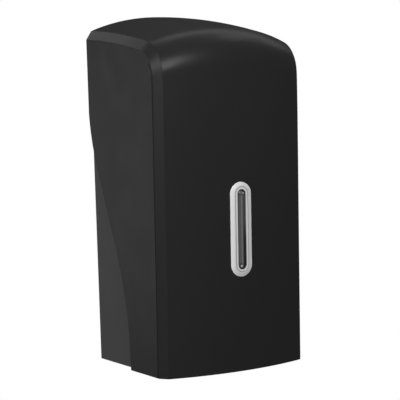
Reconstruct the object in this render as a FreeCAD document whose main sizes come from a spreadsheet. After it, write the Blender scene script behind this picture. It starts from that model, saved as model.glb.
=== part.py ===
import FreeCAD, Part
import math
import os
import Sketcher

# Twin-roll toilet paper dispenser for a wall, in millimetres.
# X runs across the front, -Y out of the wall towards the user, +Z up.
# Heights in the sketches are counted from the lower edge of the cover. Each body is then
# lowered, so that the origin is the centre of the wall screws on the wall plane.

doc = FreeCAD.newDocument("toilet_paper_dispenser")
sheet = doc.addObject("Spreadsheet::Sheet", "Sizes")
Vector = FreeCAD.Vector


class Size:
    """A length or ratio: its value, and the expression on the sheet that gives it."""

    def __init__(self, value, text):
        self.value = float(value)
        self.text = text

    def __add__(self, other):
        other = as_size(other)
        return Size(self.value + other.value, f"({self.text} + {other.text})")

    def __radd__(self, other):
        return as_size(other) + self

    def __sub__(self, other):
        other = as_size(other)
        return Size(self.value - other.value, f"({self.text} - {other.text})")

    def __rsub__(self, other):
        return as_size(other) - self

    def __mul__(self, other):
        other = as_size(other)
        return Size(self.value * other.value, f"({self.text} * {other.text})")

    def __rmul__(self, other):
        return as_size(other) * self

    def __truediv__(self, other):
        other = as_size(other)
        return Size(self.value / other.value, f"({self.text} / {other.text})")

    def __rtruediv__(self, other):
        return as_size(other) / self

    def __neg__(self):
        return Size(-self.value, f"(0 - {self.text})")


def as_size(number):
    if isinstance(number, Size):
        return number
    return Size(number, repr(float(number)))


def root(number):
    return Size(math.sqrt(number.value), f"sqrt({number.text})")


sheet_rows = []


def dim(alias, value, note):
    """Puts one driving dimension on the sheet and gives it back as a Size."""
    sheet_rows.append(alias)
    row = len(sheet_rows)
    sheet.set(f"A{row}", note)
    sheet.set(f"B{row}", str(value))
    sheet.setAlias(f"B{row}", alias)
    return Size(value, f"Sizes.{alias}")


# The two rolls that the dispenser is built around
roll_width = dim("roll_width", 100.0, "Widest roll")
roll_diameter = dim("roll_diameter", 113.0, "Largest roll")
roll_pitch = dim("roll_pitch", 115.0, "From the lower spindle up to the reserve spindle")
spindle_height = dim("spindle_height", 75.0, "Lower spindle above the cover's lower edge")
roll_rear_gap = dim("roll_rear_gap", 3.5, "Behind a full roll")
front_room = dim("front_room", 8.0, "In front of a full roll, at the middle of the cover")
head_room = dim("head_room", 73.5, "Above a full reserve roll, for the lock")

# Cover shell
cover_wall = dim("cover_wall", 3.0, "Cover's wall")
front_lean = dim("front_lean", 7.8, "How much further out the front stands at the top")
front_bow = dim("front_bow", 14.0, "Bow of the front across its width")
top_arch = dim("top_arch", 14.5, "Arch of the top across its width")
top_fall = dim("top_fall", 22.9, "Fall of the top from the wall to the front")
top_curve = dim("top_curve", 700.0, "Radius of the top from the wall to the front")
brow_round = dim("brow_round", 33.0, "Round between top and front")
side_draft = dim("side_draft", 2.7, "How much each side draws in over the depth")
edge_chamfer = dim("edge_chamfer", 5.8, "Bevel along the edges of both sides")
foot_round = dim("foot_round", 0.7, "Rounded lower edge of the cover")
wall_gap = dim("wall_gap", 0.5, "Cover's rear edge to the wall")
form_margin = dim("form_margin", 25.0, "Stock of the swept forms past wall and foot")
path_margin = dim("path_margin", 5.0, "Stock of the swept forms past the sides")
seam_width = dim("seam_width", 0.9, "Groove behind each front bevel")
seam_depth = dim("seam_depth", 0.6, "Depth of that groove")
seam_setback = dim("seam_setback", 0.4, "Groove behind the bevel's edge")
seam_turn = dim("seam_turn", 0.55, "How far the groove follows the brow, as a sine")
cut_depth = dim("cut_depth", 63.2, "Rear cut-away of the cover's sides, from the wall")
cut_foot = dim("cut_foot", 8.0, "Straight foot of the cut-away")
cut_lower_radius = dim("cut_lower_radius", 263.0, "Lower curve of the cut-away")
cut_upper_radius = dim("cut_upper_radius", 155.0, "Upper curve of the cut-away")
cut_slope = dim("cut_slope", 0.42, "Slope of the cut-away, run over rise")

# Window in the front
window_height = dim("window_height", 126.0, "Middle of the window above the lower edge")
bezel_proud = dim("bezel_proud", 2.0, "Bezel above the front")
bezel_sink = dim("bezel_sink", 0.5, "Bezel flange let into the front")
bezel_step = dim("bezel_step", 0.6, "Upright edge of the bezel above the front")
bezel_flank = dim("bezel_flank", 3.0, "Sloping flank of the bezel")
bezel_edge_round = dim("bezel_edge_round", 0.4, "Rounded outer edge of the bezel")
bezel_brow_round = dim("bezel_brow_round", 2.0, "Soft turn from the bezel's flank to its face")
lip_width = dim("lip_width", 2.1, "Lip round the viewing slot")
lip_round = dim("lip_round", 0.5, "Rounded edge of the lip")
lip_groove_width = dim("lip_groove_width", 0.7, "Fine groove round the lip")
lip_groove_depth = dim("lip_groove_depth", 0.4, "Depth of the lip's groove")
neck_inset = dim("neck_inset", 3.0, "From the bezel's edge in to its neck")
neck_depth = dim("neck_depth", 5.5, "Bezel's neck behind the flange")
slot_length = dim("slot_length", 70.0, "Viewing slot")
slot_width = dim("slot_width", 8.0, "Viewing slot")
bezel_end = dim("bezel_end", 6.6, "Bezel above and below the slot")
bezel_side = dim("bezel_side", 6.6, "Bezel beside the slot")
lens_thickness = dim("lens_thickness", 2.0, "Clear lens")
lens_rim = dim("lens_rim", 1.6, "Rim of the lens behind the slot")
lens_sink = dim("lens_sink", 0.4, "Lens bar below the bezel's face")
lens_round = dim("lens_round", 3.0, "Rounded edge of the lens bar")
cap_floor = dim("cap_floor", 1.4, "Floor of the cap that holds bezel and lens")
cap_gap = dim("cap_gap", 0.35, "Cap behind the cover's bowed wall")
window_play = dim("window_play", 0.15, "Play of the window's pieces")

# Housing on the wall
side_gap = dim("side_gap", 0.8, "Between the housing and the cover's sides")
housing_wall = dim("housing_wall", 2.6, "Housing's side walls")
back_thickness = dim("back_thickness", 3.0, "Housing's back plate")
housing_foot = dim("housing_foot", 1.5, "Housing above the cover's lower edge")
housing_head = dim("housing_head", 26.0, "Housing's top below the cover's top")
wall_lap = dim("wall_lap", 15.0, "Housing's side walls past the cover's rear edge")
ear_radius = dim("ear_radius", 10.0, "Housing's ears round the hinge")
ear_gap = dim("ear_gap", 0.5, "Ears inside the cover's front corners")
screw_spacing_across = dim("screw_spacing_across", 80.0, "Wall screws, side to side")
screw_spacing_up = dim("screw_spacing_up", 220.0, "Wall screws, up and down")
wall_screw_hole = dim("wall_screw_hole", 5.5, "Diameter of the wall screws' holes")
wall_screw_pad = dim("wall_screw_pad", 15.0, "Diameter of the pads round them")
wall_screw_height = dim("wall_screw_height", 155.0, "Middle of the wall screws")
pad_thickness = dim("pad_thickness", 1.5, "Pads round the wall screws")
rib_width = dim("rib_width", 2.2, "Ribs on the back plate")
rib_depth = dim("rib_depth", 2.0, "Ribs on the back plate")
rib_place = dim("rib_place", 20.0, "Ribs from the middle")
rib_end = dim("rib_end", 24.0, "Ribs short of the plate's ends")

# Hinge of the cover
hinge_height = dim("hinge_height", 14.0, "Hinge above the lower edge")
hinge_pin = dim("hinge_pin", 6.0, "Diameter of the hinge pins")
hinge_head = dim("hinge_head", 10.0, "Diameter of their heads")
head_thickness = dim("head_thickness", 2.0, "Thickness of their heads")
hinge_boss = dim("hinge_boss", 14.0, "Diameter of the housing's hinge bosses")
hinge_boss_height = dim("hinge_boss_height", 1.8, "Bosses inside the housing")
socket_depth = dim("socket_depth", 2.2, "Pin's socket in the cover's side")
running_play = dim("running_play", 0.05, "Radial play of pins and shafts")
end_play = dim("end_play", 0.2, "Play at the ends of pins")

# Rails with the tracks of the spindles
rail_thickness = dim("rail_thickness", 6.0, "Rail plate")
rail_flange_width = dim("rail_flange_width", 7.5, "Rail flange beside the plate")
rail_flange = dim("rail_flange", 3.0, "Thickness of the flange")
rail_side_gap = dim("rail_side_gap", 0.6, "Rail flange to the housing's side wall")
boss_height = dim("boss_height", 5.0, "Screw bosses on the back plate")
boss_diameter = dim("boss_diameter", 8.5, "Screw bosses on the back plate")
track_wall = dim("track_wall", 10.0, "Rail on each side of its track")
track_depth = dim("track_depth", 4.2, "Depth of the track")
track_play = dim("track_play", 0.2, "Play of a spindle end in its track, each side")
rail_lift = dim("rail_lift", 1.0, "Rail above the finger lever's tab")
rail_head = dim("rail_head", 40.0, "Rail above the reserve spindle")
rail_rear_head = dim("rail_rear_head", 22.0, "Rail's rear part above the reserve spindle")
mouth_flare = dim("mouth_flare", 4.0, "Flare at the top of the track, each side")
mouth_depth = dim("mouth_depth", 8.0, "Height of that flare")
rail_window_edge = dim("rail_window_edge", 9.0, "Material round the rail's openings")
rail_window_round = dim("rail_window_round", 5.0, "Corners of the rail's openings")
rail_round = dim("rail_round", 2.5, "Rounded corners of the rail")
shaft_web = dim("shaft_web", 13.5, "Rail left below the cross shaft")
stop_web = dim("stop_web", 36.0, "Rail left above the cross shaft, round the stop")
rail_screw_inset = dim("rail_screw_inset", 24.0, "Rail screws from the flange's ends")

# Spindles
spindle_diameter = dim("spindle_diameter", 28.0, "Spindle body")
trunnion = dim("trunnion", 10.0, "Square end of a spindle")
spindle_short = dim("spindle_short", 0.5, "Spindle body short of the roll, each end")
sleeve_share = dim("sleeve_share", 8.0, "End of the sleeve, right of the middle")
plunger_travel = dim("plunger_travel", 7.0, "Travel of the sprung end")
travel_spare = dim("travel_spare", 2.0, "Gap left when it is pressed in")
bore_diameter = dim("bore_diameter", 20.1, "Bore of the sleeve")
stem_lap = dim("stem_lap", 20.0, "Plunger's stem inside the sleeve")
bore_end = dim("bore_end", 14.5, "Solid end of the sleeve")
spindle_bevel = dim("spindle_bevel", 1.5, "Bevel at the spindle's ends")
spring_wire = dim("spring_wire", 1.2, "Wire of the spindle springs")
spring_coil = dim("spring_coil", 13.0, "Mean diameter of the spindle springs")
spring_turns = dim("spring_turns", 7, "Turns of a spindle spring")
close_gap = dim("close_gap", 0.5, "Gap of a spindle spring's end turns")

# Reserve catch and its lever
shaft_diameter = dim("shaft_diameter", 6.0, "Cross shaft")
shaft_reach = dim("shaft_reach", 20.0, "Cross shaft in front of the wall")
shaft_rise = dim("shaft_rise", 55.0, "Cross shaft above the lower spindle")
arm_thickness = dim("arm_thickness", 4.0, "Catch arms")
arm_roll_gap = dim("arm_roll_gap", 1.5, "Catch arm to the roll's end")
arm_rail_gap = dim("arm_rail_gap", 1.5, "Catch arm to the rail")
arm_hub = dim("arm_hub", 16.0, "Hub of a catch arm")
arm_width = dim("arm_width", 10.0, "Width of an arm")
ledge_front = dim("ledge_front", 8.0, "Catch ledge in front of the spindle's axis")
ledge_rear = dim("ledge_rear", 19.0, "Catch ledge behind the spindle's axis")
ledge_thickness = dim("ledge_thickness", 9.0, "Thickness of the ledge")
ledge_nose = dim("ledge_nose", 5.0, "Slope under the ledge's nose")
seat_play = dim("seat_play", 0.1, "Between a spindle's end and its seat")
knee_reach = dim("knee_reach", 50.0, "Knee of the finger lever in front of the wall")
knee_drop = dim("knee_drop", 9.0, "Knee of the finger lever below the lower spindle")
grip_reach = dim("grip_reach", 78.0, "Lever's lower end in front of the wall")
grip_height = dim("grip_height", 10.0, "Lever's lower end above the lower edge")
tab_length = dim("tab_length", 16.0, "Finger tab along the lever")
tab_width = dim("tab_width", 14.5, "Finger tab across")
tab_thickness = dim("tab_thickness", 4.0, "Finger tab")
grip_wall = dim("grip_wall", 1.8, "Soft grip over the tab")
grip_play = dim("grip_play", 0.02, "Grip over the tab")
grip_round = dim("grip_round", 1.4, "Rounded end of the grip")
fit_play = dim("fit_play", 0.02, "Radial play of pressed and threaded fits")
stop_pin = dim("stop_pin", 5.0, "Stop on each rail, above the arm")
stop_place = dim("stop_place", 38.0, "Stop along the catch arm from the shaft")
stop_gap = dim("stop_gap", 0.05, "Stop to the arm")
torsion_wire = dim("torsion_wire", 1.4, "Wire of the lever's spring")
torsion_coil = dim("torsion_coil", 10.6, "Mean diameter of the lever's spring")
torsion_turns = dim("torsion_turns", 4, "Turns of the lever's spring")
torsion_pitch = dim("torsion_pitch", 2.1, "Pitch of the lever's spring")
torsion_gap = dim("torsion_gap", 0.4, "Lever's spring to the lever")
rear_leg = dim("rear_leg", 26.0, "Spring's leg on the back plate")
front_leg = dim("front_leg", 14.0, "Spring's leg under the lever's lug")
lug_diameter = dim("lug_diameter", 3.0, "Lug for the spring")
lug_place = dim("lug_place", 13.0, "Lug along the catch arm from the shaft")
clip_thickness = dim("clip_thickness", 0.8, "Shaft clips")
clip_diameter = dim("clip_diameter", 11.0, "Shaft clips")
clip_groove = dim("clip_groove", 0.6, "Depth of the clip's groove")
clip_mouth = dim("clip_mouth", 4.0, "Mouth of a clip")
clip_gap = dim("clip_gap", 0.3, "Clip to the rail")
clip_play = dim("clip_play", 0.05, "Clip in its groove, each face")
shaft_end = dim("shaft_end", 2.0, "Shaft past its clips")

# Lock on the right side
lock_reach = dim("lock_reach", 36.0, "Lock in front of the wall")
lock_drop = dim("lock_drop", 48.0, "Lock below the cover's top")
lock_body_diameter = dim("lock_body_diameter", 14.0, "Lock's threaded body")
lock_flange = dim("lock_flange", 19.0, "Lock's flange")
lock_flange_thickness = dim("lock_flange_thickness", 2.0, "Lock's flange")
lock_length = dim("lock_length", 17.0, "Lock's body behind the flange")
lock_recess = dim("lock_recess", 0.9, "Flange let into the cover's side, at most")
barrel_diameter = dim("barrel_diameter", 10.0, "Turning barrel")
key_slot_width = dim("key_slot_width", 1.6, "Key slot")
key_slot_length = dim("key_slot_length", 6.0, "Key slot")
key_slot_depth = dim("key_slot_depth", 9.0, "Key slot")
cam_thickness = dim("cam_thickness", 2.0, "Cam")
cam_reach = dim("cam_reach", 22.0, "Cam from the barrel's axis")
cam_width = dim("cam_width", 9.0, "Cam")
cam_square = dim("cam_square", 6.0, "Square on the barrel")
barrel_neck = dim("barrel_neck", 8.2, "Barrel's face in the flange")
barrel_sink = dim("barrel_sink", 0.3, "Barrel's face below the flange's")
cam_screw_shank = dim("cam_screw_shank", 3.0, "Cam's screw")
cam_screw_head = dim("cam_screw_head", 9.0, "Cam's screw")
cam_screw_head_height = dim("cam_screw_head_height", 1.6, "Cam's screw")
cam_screw_bite = dim("cam_screw_bite", 6.0, "Cam's screw in the barrel")
cam_gap = dim("cam_gap", 0.3, "Cam behind the lock's body")
nut_width = dim("nut_width", 19.0, "Lock's nut across its flats")
nut_thickness = dim("nut_thickness", 4.0, "Lock's nut")
lock_pad = dim("lock_pad", 24.0, "Pad for the nut inside the cover")
lock_pad_height = dim("lock_pad_height", 0.8, "Pad for the nut inside the cover")
keeper_sheet = dim("keeper_sheet", 1.5, "Sheet of the keeper")
keeper_height = dim("keeper_height", 28.0, "Keeper, up and down")
keeper_foot = dim("keeper_foot", 15.0, "Keeper's foot beside its leaf")
keeper_gap = dim("keeper_gap", 1.5, "Keeper's lip in front of the cam")
keeper_side = dim("keeper_side", 5.0, "Keeper's leaf outside the cam")
keeper_drop = dim("keeper_drop", 1.0, "Keeper's top below the lock's body")
keeper_bend = dim("keeper_bend", 1.2, "Inner bend of the keeper")
keeper_screw_pitch = dim("keeper_screw_pitch", 14.0, "Keeper's screws")

# Screws
screw_shank = dim("screw_shank", 3.4, "Housing screws")
screw_head = dim("screw_head", 7.0, "Housing screws")
screw_head_height = dim("screw_head_height", 2.4, "Housing screws")
screw_bite = dim("screw_bite", 5.5, "Housing screws in their bosses")
cross_width = dim("cross_width", 1.1, "Cross recess")
cross_length = dim("cross_length", 3.8, "Cross recess")
cross_depth = dim("cross_depth", 1.4, "Cross recess")
screw_hole_play = dim("screw_hole_play", 0.3, "Radial play of the screws in rails and keeper")
pilot_spare = dim("pilot_spare", 0.2, "Pilot holes deeper than the screws")
fine_bevel = dim("fine_bevel", 0.5, "Fine bevels and rounded edges")
over_cut = dim("over_cut", 1.0, "How far cuts run past the face that they open")

doc.recompute()

# Places that follow from the driving dimensions
spindle_half = roll_width / 2 - spindle_short
arm_inner = roll_width / 2 + arm_roll_gap
rail_inner = arm_inner + arm_thickness + arm_rail_gap
rail_outer = rail_inner + rail_thickness
flange_outer = rail_outer + rail_flange_width
housing_inner = flange_outer + rail_side_gap
housing_outer = housing_inner + housing_wall
cover_inner = housing_outer + side_gap
cover_half = cover_inner + cover_wall
axis_reach = back_thickness + roll_rear_gap + roll_diameter / 2
reserve_height = spindle_height + roll_pitch
shaft_height = spindle_height + shaft_rise
knee_height = spindle_height - knee_drop
cover_height = reserve_height + roll_diameter / 2 + head_room
cover_depth = back_thickness + roll_rear_gap + roll_diameter + front_room + cover_wall
housing_top = cover_height - housing_head
draft = side_draft / cover_depth
lean = front_lean / cover_height
lock_height = cover_height - lock_drop
seat_line = back_thickness + boss_height + rail_flange
lock_seat = cover_half - draft * lock_reach - lock_recess
lock_inner_end = lock_seat - lock_length
bezel_length = slot_length + 2 * bezel_end
bezel_width = slot_width + 2 * bezel_side
cam_outer = lock_inner_end - cam_gap
cam_inner = cam_outer - cam_thickness
# Past the whole part, for cuts that leave nothing beyond their line
far = cover_height * 2


def bevel_within(inset):
    """The side bevel of a form that lies inset within the cover's, so that the wall is even."""
    return edge_chamfer - inset * (2 - math.sqrt(2))


# The cover's front corners swing round the ears, so the hinge stands back from them
inner_share = cover_inner * cover_inner / (cover_half * cover_half)
front_corner = cover_depth - cover_wall - front_bow * inner_share - bevel_within(cover_wall)
hinge_reach = front_corner - ear_gap - ear_radius

BOTH_SIDES = (("left", -1), ("right", 1))
parts = []


def new_body(label, tool=False):
    """Starts one sub-part. Its Placement lowers it onto the origin. A tool stays where it is."""
    body = doc.addObject("PartDesign::Body", label)
    body.Label = label
    if not tool:
        body.setExpression("Placement.Base.z", (-wall_screw_height).text)
        parts.append(body)
    return body


def origin_feature(body, role):
    for feature in body.Origin.OriginFeatures:
        if feature.Role == role:
            return feature
    raise ValueError(role)


def new_sketch(body, role, label, offset=None):
    """A sketch on one of the body's own planes, moved along its normal by offset."""
    sketch = body.newObject("Sketcher::SketchObject", label)
    sketch.AttachmentSupport = [(origin_feature(body, role), "")]
    sketch.MapMode = "FlatFace"
    if offset is not None:
        offset = as_size(offset)
        sketch.setExpression("AttachmentOffset.Base.z", offset.text)
        sketch.AttachmentOffset.Base.z = offset.value
    return sketch


def pin_point(sketch, edge, end, across, up):
    """Ties one end of an edge to its place in the sketch."""
    for kind, size, axis in (("DistanceX", across, -2), ("DistanceY", up, -1)):
        size = as_size(size)
        if size.value == 0.0:
            sketch.addConstraint(Sketcher.Constraint("PointOnObject", edge, end, axis))
            continue
        index = sketch.addConstraint(Sketcher.Constraint(kind, -1, 1, edge, end, size.value))
        sketch.setExpression(f"Constraints[{index}]", size.text)


def arc_between(start, end, radius):
    """The arc from start to end that turns left for a positive radius."""
    chord = end - start
    half = chord.Length / 2
    rise = math.sqrt(max(radius * radius - half * half, 0.0))
    left = Vector(-chord.y, chord.x, 0).normalize()
    centre = (start + end) * 0.5 + left * (rise if radius > 0 else -rise)
    first, last = (start, end) if radius > 0 else (end, start)
    angles = [math.atan2(point.y - centre.y, point.x - centre.x) for point in (first, last)]
    return Part.ArcOfCircle(Part.Circle(centre, Vector(0, 0, 1), abs(radius)), *angles)


def outline(sketch, corners):
    """Draws a closed outline. A corner is (across, up), or (across, up, radius) where an
    arc of that radius leaves it, turning left for a positive radius."""
    places = [Vector(as_size(c[0]).value, as_size(c[1]).value, 0) for c in corners]
    ends = []
    for index, corner in enumerate(corners):
        start = places[index]
        end = places[(index + 1) % len(corners)]
        if len(corner) == 2:
            edge = sketch.addGeometry(Part.LineSegment(start, end), False)
            ends.append((edge, 1, 2))
            continue
        radius = as_size(corner[2])
        edge = sketch.addGeometry(arc_between(start, end, radius.value), False)
        ends.append((edge, 1, 2) if radius.value > 0 else (edge, 2, 1))
        sign = 1 if radius.value > 0 else -1
        index_radius = sketch.addConstraint(
            Sketcher.Constraint("Radius", edge, abs(radius.value)))
        sketch.setExpression(f"Constraints[{index_radius}]", (radius * sign).text)
    for index, (edge, first, last) in enumerate(ends):
        following, opening, _ = ends[(index + 1) % len(ends)]
        sketch.addConstraint(Sketcher.Constraint("Coincident", edge, last, following, opening))
        pin_point(sketch, edge, first, corners[index][0], corners[index][1])


def circle(sketch, across, up, radius):
    place = Vector(as_size(across).value, as_size(up).value, 0)
    radius = as_size(radius)
    edge = sketch.addGeometry(Part.Circle(place, Vector(0, 0, 1), radius.value), False)
    index = sketch.addConstraint(Sketcher.Constraint("Radius", edge, radius.value))
    sketch.setExpression(f"Constraints[{index}]", radius.text)
    pin_point(sketch, edge, 3, across, up)


def rectangle(sketch, left, low, right, high):
    outline(sketch, [(left, low), (right, low), (right, high), (left, high)])


def rounded_rectangle(sketch, left, low, right, high, radius):
    outline(sketch, [
        (left + radius, low), (right - radius, low, radius),
        (right, low + radius), (right, high - radius, radius),
        (right - radius, high), (left + radius, high, radius),
        (left, high - radius), (left, low + radius, radius)])


def pill(sketch, length, width):
    """An upright slot round the sketch's origin: quarter circles and two straight sides."""
    half = width / 2
    straight = length / 2 - half
    outline(sketch, [
        (half, -straight), (half, straight, half), (0, straight + half, half),
        (-half, straight), (-half, -straight, half), (0, -straight - half, half)])


def add_feature(body, kind, label, sketch, **settings):
    doc.recompute()
    feature = body.newObject(kind, label)
    feature.Profile = (sketch, [""])
    for name, value in settings.items():
        setattr(feature, name, value)
    sketch.Visibility = False
    return feature


def pad(body, sketch, length, label, both_ways=False):
    """Adds material along the sketch's normal, or half of it each way."""
    side = "Symmetric" if both_ways else "One side"
    feature = add_feature(body, "PartDesign::Pad", label, sketch, SideType=side)
    feature.Length = as_size(length).value
    feature.setExpression("Length", as_size(length).text)
    doc.recompute()
    return feature


def pocket(body, sketch, length, label, both_ways=False, against=False):
    """Takes material away along the sketch's normal, both ways, or against it."""
    before = body.Shape.Volume
    side = "Symmetric" if both_ways else "One side"
    feature = add_feature(body, "PartDesign::Pocket", label, sketch, SideType=side)
    feature.Reversed = not against
    feature.Length = as_size(length).value
    feature.setExpression("Length", as_size(length).text)
    doc.recompute()
    if not body.Shape.Volume < before:
        raise ValueError(f"{label} cuts nothing from {body.Label}")
    return feature


def cut_through(body, sketch, label):
    """Takes the outline away right through the body, both ways."""
    return pocket(body, sketch, far * 2, label, both_ways=True)


def turned(label, profile):
    """A sub-part turned round its own Z axis, from the (radius, height) outline."""
    body = new_body(label)
    sketch = new_sketch(body, "XZ_Plane", f"{label}_profile")
    outline(sketch, profile)
    feature = add_feature(body, "PartDesign::Revolution", f"{label}_turned", sketch)
    feature.ReferenceAxis = (sketch, ["V_Axis"])
    feature.Angle = 360.0
    doc.recompute()
    return body


def stand_along_x(body, start, reach, height, side=1):
    """Lays a turned body along X: its own Z runs outwards on the given side."""
    body.Placement = FreeCAD.Placement(
        Vector(0, 0, 0), FreeCAD.Rotation(Vector(0, 1, 0), 90.0 * side))
    body.setExpression("Placement.Base.x", as_size(start).text)
    body.setExpression("Placement.Base.y", (-as_size(reach)).text)
    body.setExpression("Placement.Base.z", (height - wall_screw_height).text)


def edges_that(shape, test, rejects):
    """Names of the edges whose points all pass the test, less those that lie in a reject."""
    names = []
    for index, edge in enumerate(shape.Edges):
        span = edge.LastParameter - edge.FirstParameter
        points = [edge.valueAt(edge.FirstParameter + span * step / 6) for step in range(7)]
        lies_in_reject = any(all(reject(point) for point in points) for reject in rejects)
        if all(test(point) for point in points) and not lies_in_reject:
            names.append(f"Edge{index + 1}")
    return names


def dress(body, kind, label, test, size, rejects=()):
    """Rounds or bevels the edges that pass the test, in the body's own coordinates."""
    base = body.Tip
    names = edges_that(base.Shape, test, rejects)
    if not names:
        raise ValueError(f"{label} finds no edge on {body.Label}")
    feature = body.newObject(kind, label)
    feature.Base = (base, names)
    field = "Radius" if kind.endswith("Fillet") else "Size"
    size = as_size(size)
    setattr(feature, field, size.value)
    feature.setExpression(field, size.text)
    doc.recompute()
    return feature


def fillet(body, label, test, size, rejects=()):
    return dress(body, "PartDesign::Fillet", label, test, size, rejects)


def chamfer(body, label, test, size, rejects=()):
    return dress(body, "PartDesign::Chamfer", label, test, size, rejects)


def near(value, size, slack=0.02):
    return abs(value - as_size(size).value) < slack


def cylinder_along_x(body, label, start, length, reach, height, radius):
    """A boss along X on a body, from start towards +X."""
    sketch = new_sketch(body, "YZ_Plane", f"{label}_circle", start)
    circle(sketch, -reach, height, radius)
    return pad(body, sketch, length, label)


def hole_along_x(body, label, start, length, reach, height, radius):
    sketch = new_sketch(body, "YZ_Plane", f"{label}_circle", start)
    circle(sketch, -reach, height, radius)
    return pocket(body, sketch, length, label)


def across(side, inner, outer):
    """The lower X of a slab that lies between inner and outer on the given side."""
    return inner if side > 0 else -outer


# Cover: one side profile carried along one tilted arc, which bows the front and arches the top
def cover_form(label, inset):
    """The cover's outer form, or its inner one where inset is the wall."""
    body = new_body(label, tool=inset.value > 0.0)
    top = cover_height - inset
    low = -form_margin - top_arch
    brow_height = top - top_fall
    brow_reach = cover_depth - inset + lean * brow_height
    low_reach = cover_depth - inset + lean * low
    # Slope of the top at the wall, from the chord and the radius of its curve
    chord = root(brow_reach * brow_reach + top_fall * top_fall)
    half_turn = chord / (2 * top_curve)
    rear_slope = top_fall / brow_reach - half_turn
    profile = new_sketch(body, "YZ_Plane", f"{label}_profile")
    outline(profile, [
        (0, top, top_curve),
        (-brow_reach, brow_height),
        (-low_reach, low),
        (form_margin, low),
        (form_margin, top + rear_slope * form_margin)])

    # The arc lies in a plane that rises towards the front, so one arc gives bow and arch
    tilt = root(front_bow * front_bow + top_arch * top_arch)
    arc_radius = (cover_half * cover_half + tilt * tilt) / (2 * tilt)
    span = cover_half + path_margin
    drop = arc_radius - root(arc_radius * arc_radius - span * span)
    path = new_sketch(body, "XZ_Plane", f"{label}_path")
    path.AttachmentOffset = FreeCAD.Placement(
        Vector(0, 0, 0),
        FreeCAD.Rotation(Vector(1, 0, 0), math.degrees(math.atan2(front_bow.value, top_arch.value))))
    path.setExpression(
        "AttachmentOffset.Rotation.Angle", f"atan({front_bow.text} / {top_arch.text})")
    start = Vector(span.value, -drop.value, 0)
    edge = path.addGeometry(arc_between(start, Vector(0, 0, 0), arc_radius.value), False)
    index = path.addConstraint(Sketcher.Constraint("Radius", edge, arc_radius.value))
    path.setExpression(f"Constraints[{index}]", arc_radius.text)
    pin_point(path, edge, 1, span, -drop)
    pin_point(path, edge, 2, 0, 0)

    sweep = add_feature(body, "PartDesign::AdditivePipe", f"{label}_sweep", profile)
    sweep.Spine = (path, ["Edge1"])
    sweep.Mode = "Fixed"
    doc.recompute()
    mirror = body.newObject("PartDesign::Mirrored", f"{label}_mirror")
    mirror.Originals = [sweep]
    mirror.MirrorPlane = (origin_feature(body, "YZ_Plane"), [""])
    body.Tip = mirror
    doc.recompute()

    sides = new_sketch(body, "XY_Plane", f"{label}_sides")
    half = cover_half - inset
    for side in (-1, 1):
        outline(sides, [
            (side * (half + draft * far), far), (side * (half - draft * far), -far),
            (side * far, -far), (side * far, far)])
    cut_through(body, sides, f"{label}_drafted_sides")
    if inset.value == 0.0:
        wall = new_sketch(body, "YZ_Plane", f"{label}_wall_line")
        rectangle(wall, -wall_gap, -far, far, far)
        cut_through(body, wall, f"{label}_wall_cut")
        foot = new_sketch(body, "YZ_Plane", f"{label}_foot_line")
        rectangle(foot, -far, -far, far, 0)
        cut_through(body, foot, f"{label}_foot_cut")

    def is_brow(point):
        shift = abs(point.x) * abs(point.x) / (cover_half.value * cover_half.value)
        height = brow_height.value - top_arch.value * shift
        return near(point.z, height, slack=1.5) and point.y < -cover_depth.value / 2

    fillet(body, f"{label}_brow", is_brow, brow_round - inset)

    def is_side_edge(point):
        return near(abs(point.x), half.value + draft.value * point.y, slack=0.05)

    chamfer(body, f"{label}_side_bevels", is_side_edge, bevel_within(inset),
            rejects=(lambda point: point.y > -wall_gap.value - 0.01, lambda point: point.z < 0.01))
    return body


def top_curve_centre():
    """Centre of the top's long curve, as (Y, height), on the middle plane of the cover."""
    brow_height = cover_height - top_fall
    brow_reach = cover_depth + lean * brow_height
    chord = root(brow_reach * brow_reach + top_fall * top_fall)
    sink = root(top_curve * top_curve - chord * chord / 4)
    middle_height = cover_height - top_fall / 2
    return -brow_reach / 2 + sink * top_fall / chord, middle_height - sink * brow_reach / chord


# Slope of the front, as parts of a unit length
front_cosine = 1 / root(1 + lean * lean)
front_sine = lean * front_cosine
window_reach = cover_depth + lean * window_height


def window_sketch(body, label, depth):
    """A sketch square to the leaning front, at the window, so far in front of its face."""
    sketch = new_sketch(body, "XZ_Plane", label)
    up = window_height - front_sine * depth
    out = window_reach + front_cosine * depth
    tilt = math.degrees(math.atan(lean.value))
    sketch.AttachmentOffset = FreeCAD.Placement(
        Vector(0, up.value, out.value), FreeCAD.Rotation(Vector(1, 0, 0), tilt))
    sketch.setExpression("AttachmentOffset.Base.y", up.text)
    sketch.setExpression("AttachmentOffset.Base.z", out.text)
    sketch.setExpression("AttachmentOffset.Rotation.Angle", f"atan({lean.text})")
    return sketch


def stand_in_window(body):
    """Puts a piece of the window, made flat on its own XY plane, into the leaning front."""
    tilt = math.degrees(math.atan(lean.value))
    body.Placement = FreeCAD.Placement(
        Vector(0, 0, 0), FreeCAD.Rotation(Vector(1, 0, 0), 90.0 + tilt))
    body.setExpression("Placement.Base.y", (-window_reach).text)
    body.setExpression("Placement.Base.z", (window_height - wall_screw_height).text)
    body.setExpression("Placement.Rotation.Angle", f"90 deg + atan({lean.text})")


# Rear cut-away of the cover's sides: a straight foot, two arcs and the slope between them
cut_cosine = 1 / root(1 + cut_slope * cut_slope)
cut_sine = cut_slope * cut_cosine
cut_curves = cut_lower_radius + cut_upper_radius
cut_straight = (cut_depth - cut_curves * (1 - cut_cosine)) / cut_sine
cut_top = cut_foot + cut_curves * cut_sine + cut_straight * cut_cosine
cut_upper_reach = cut_upper_radius * (1 - cut_cosine)
cut_upper_height = cut_top - cut_upper_radius * cut_sine
cut_lower_reach = cut_depth - cut_lower_radius * (1 - cut_cosine)
cut_lower_height = cut_foot + cut_lower_radius * cut_sine


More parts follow.
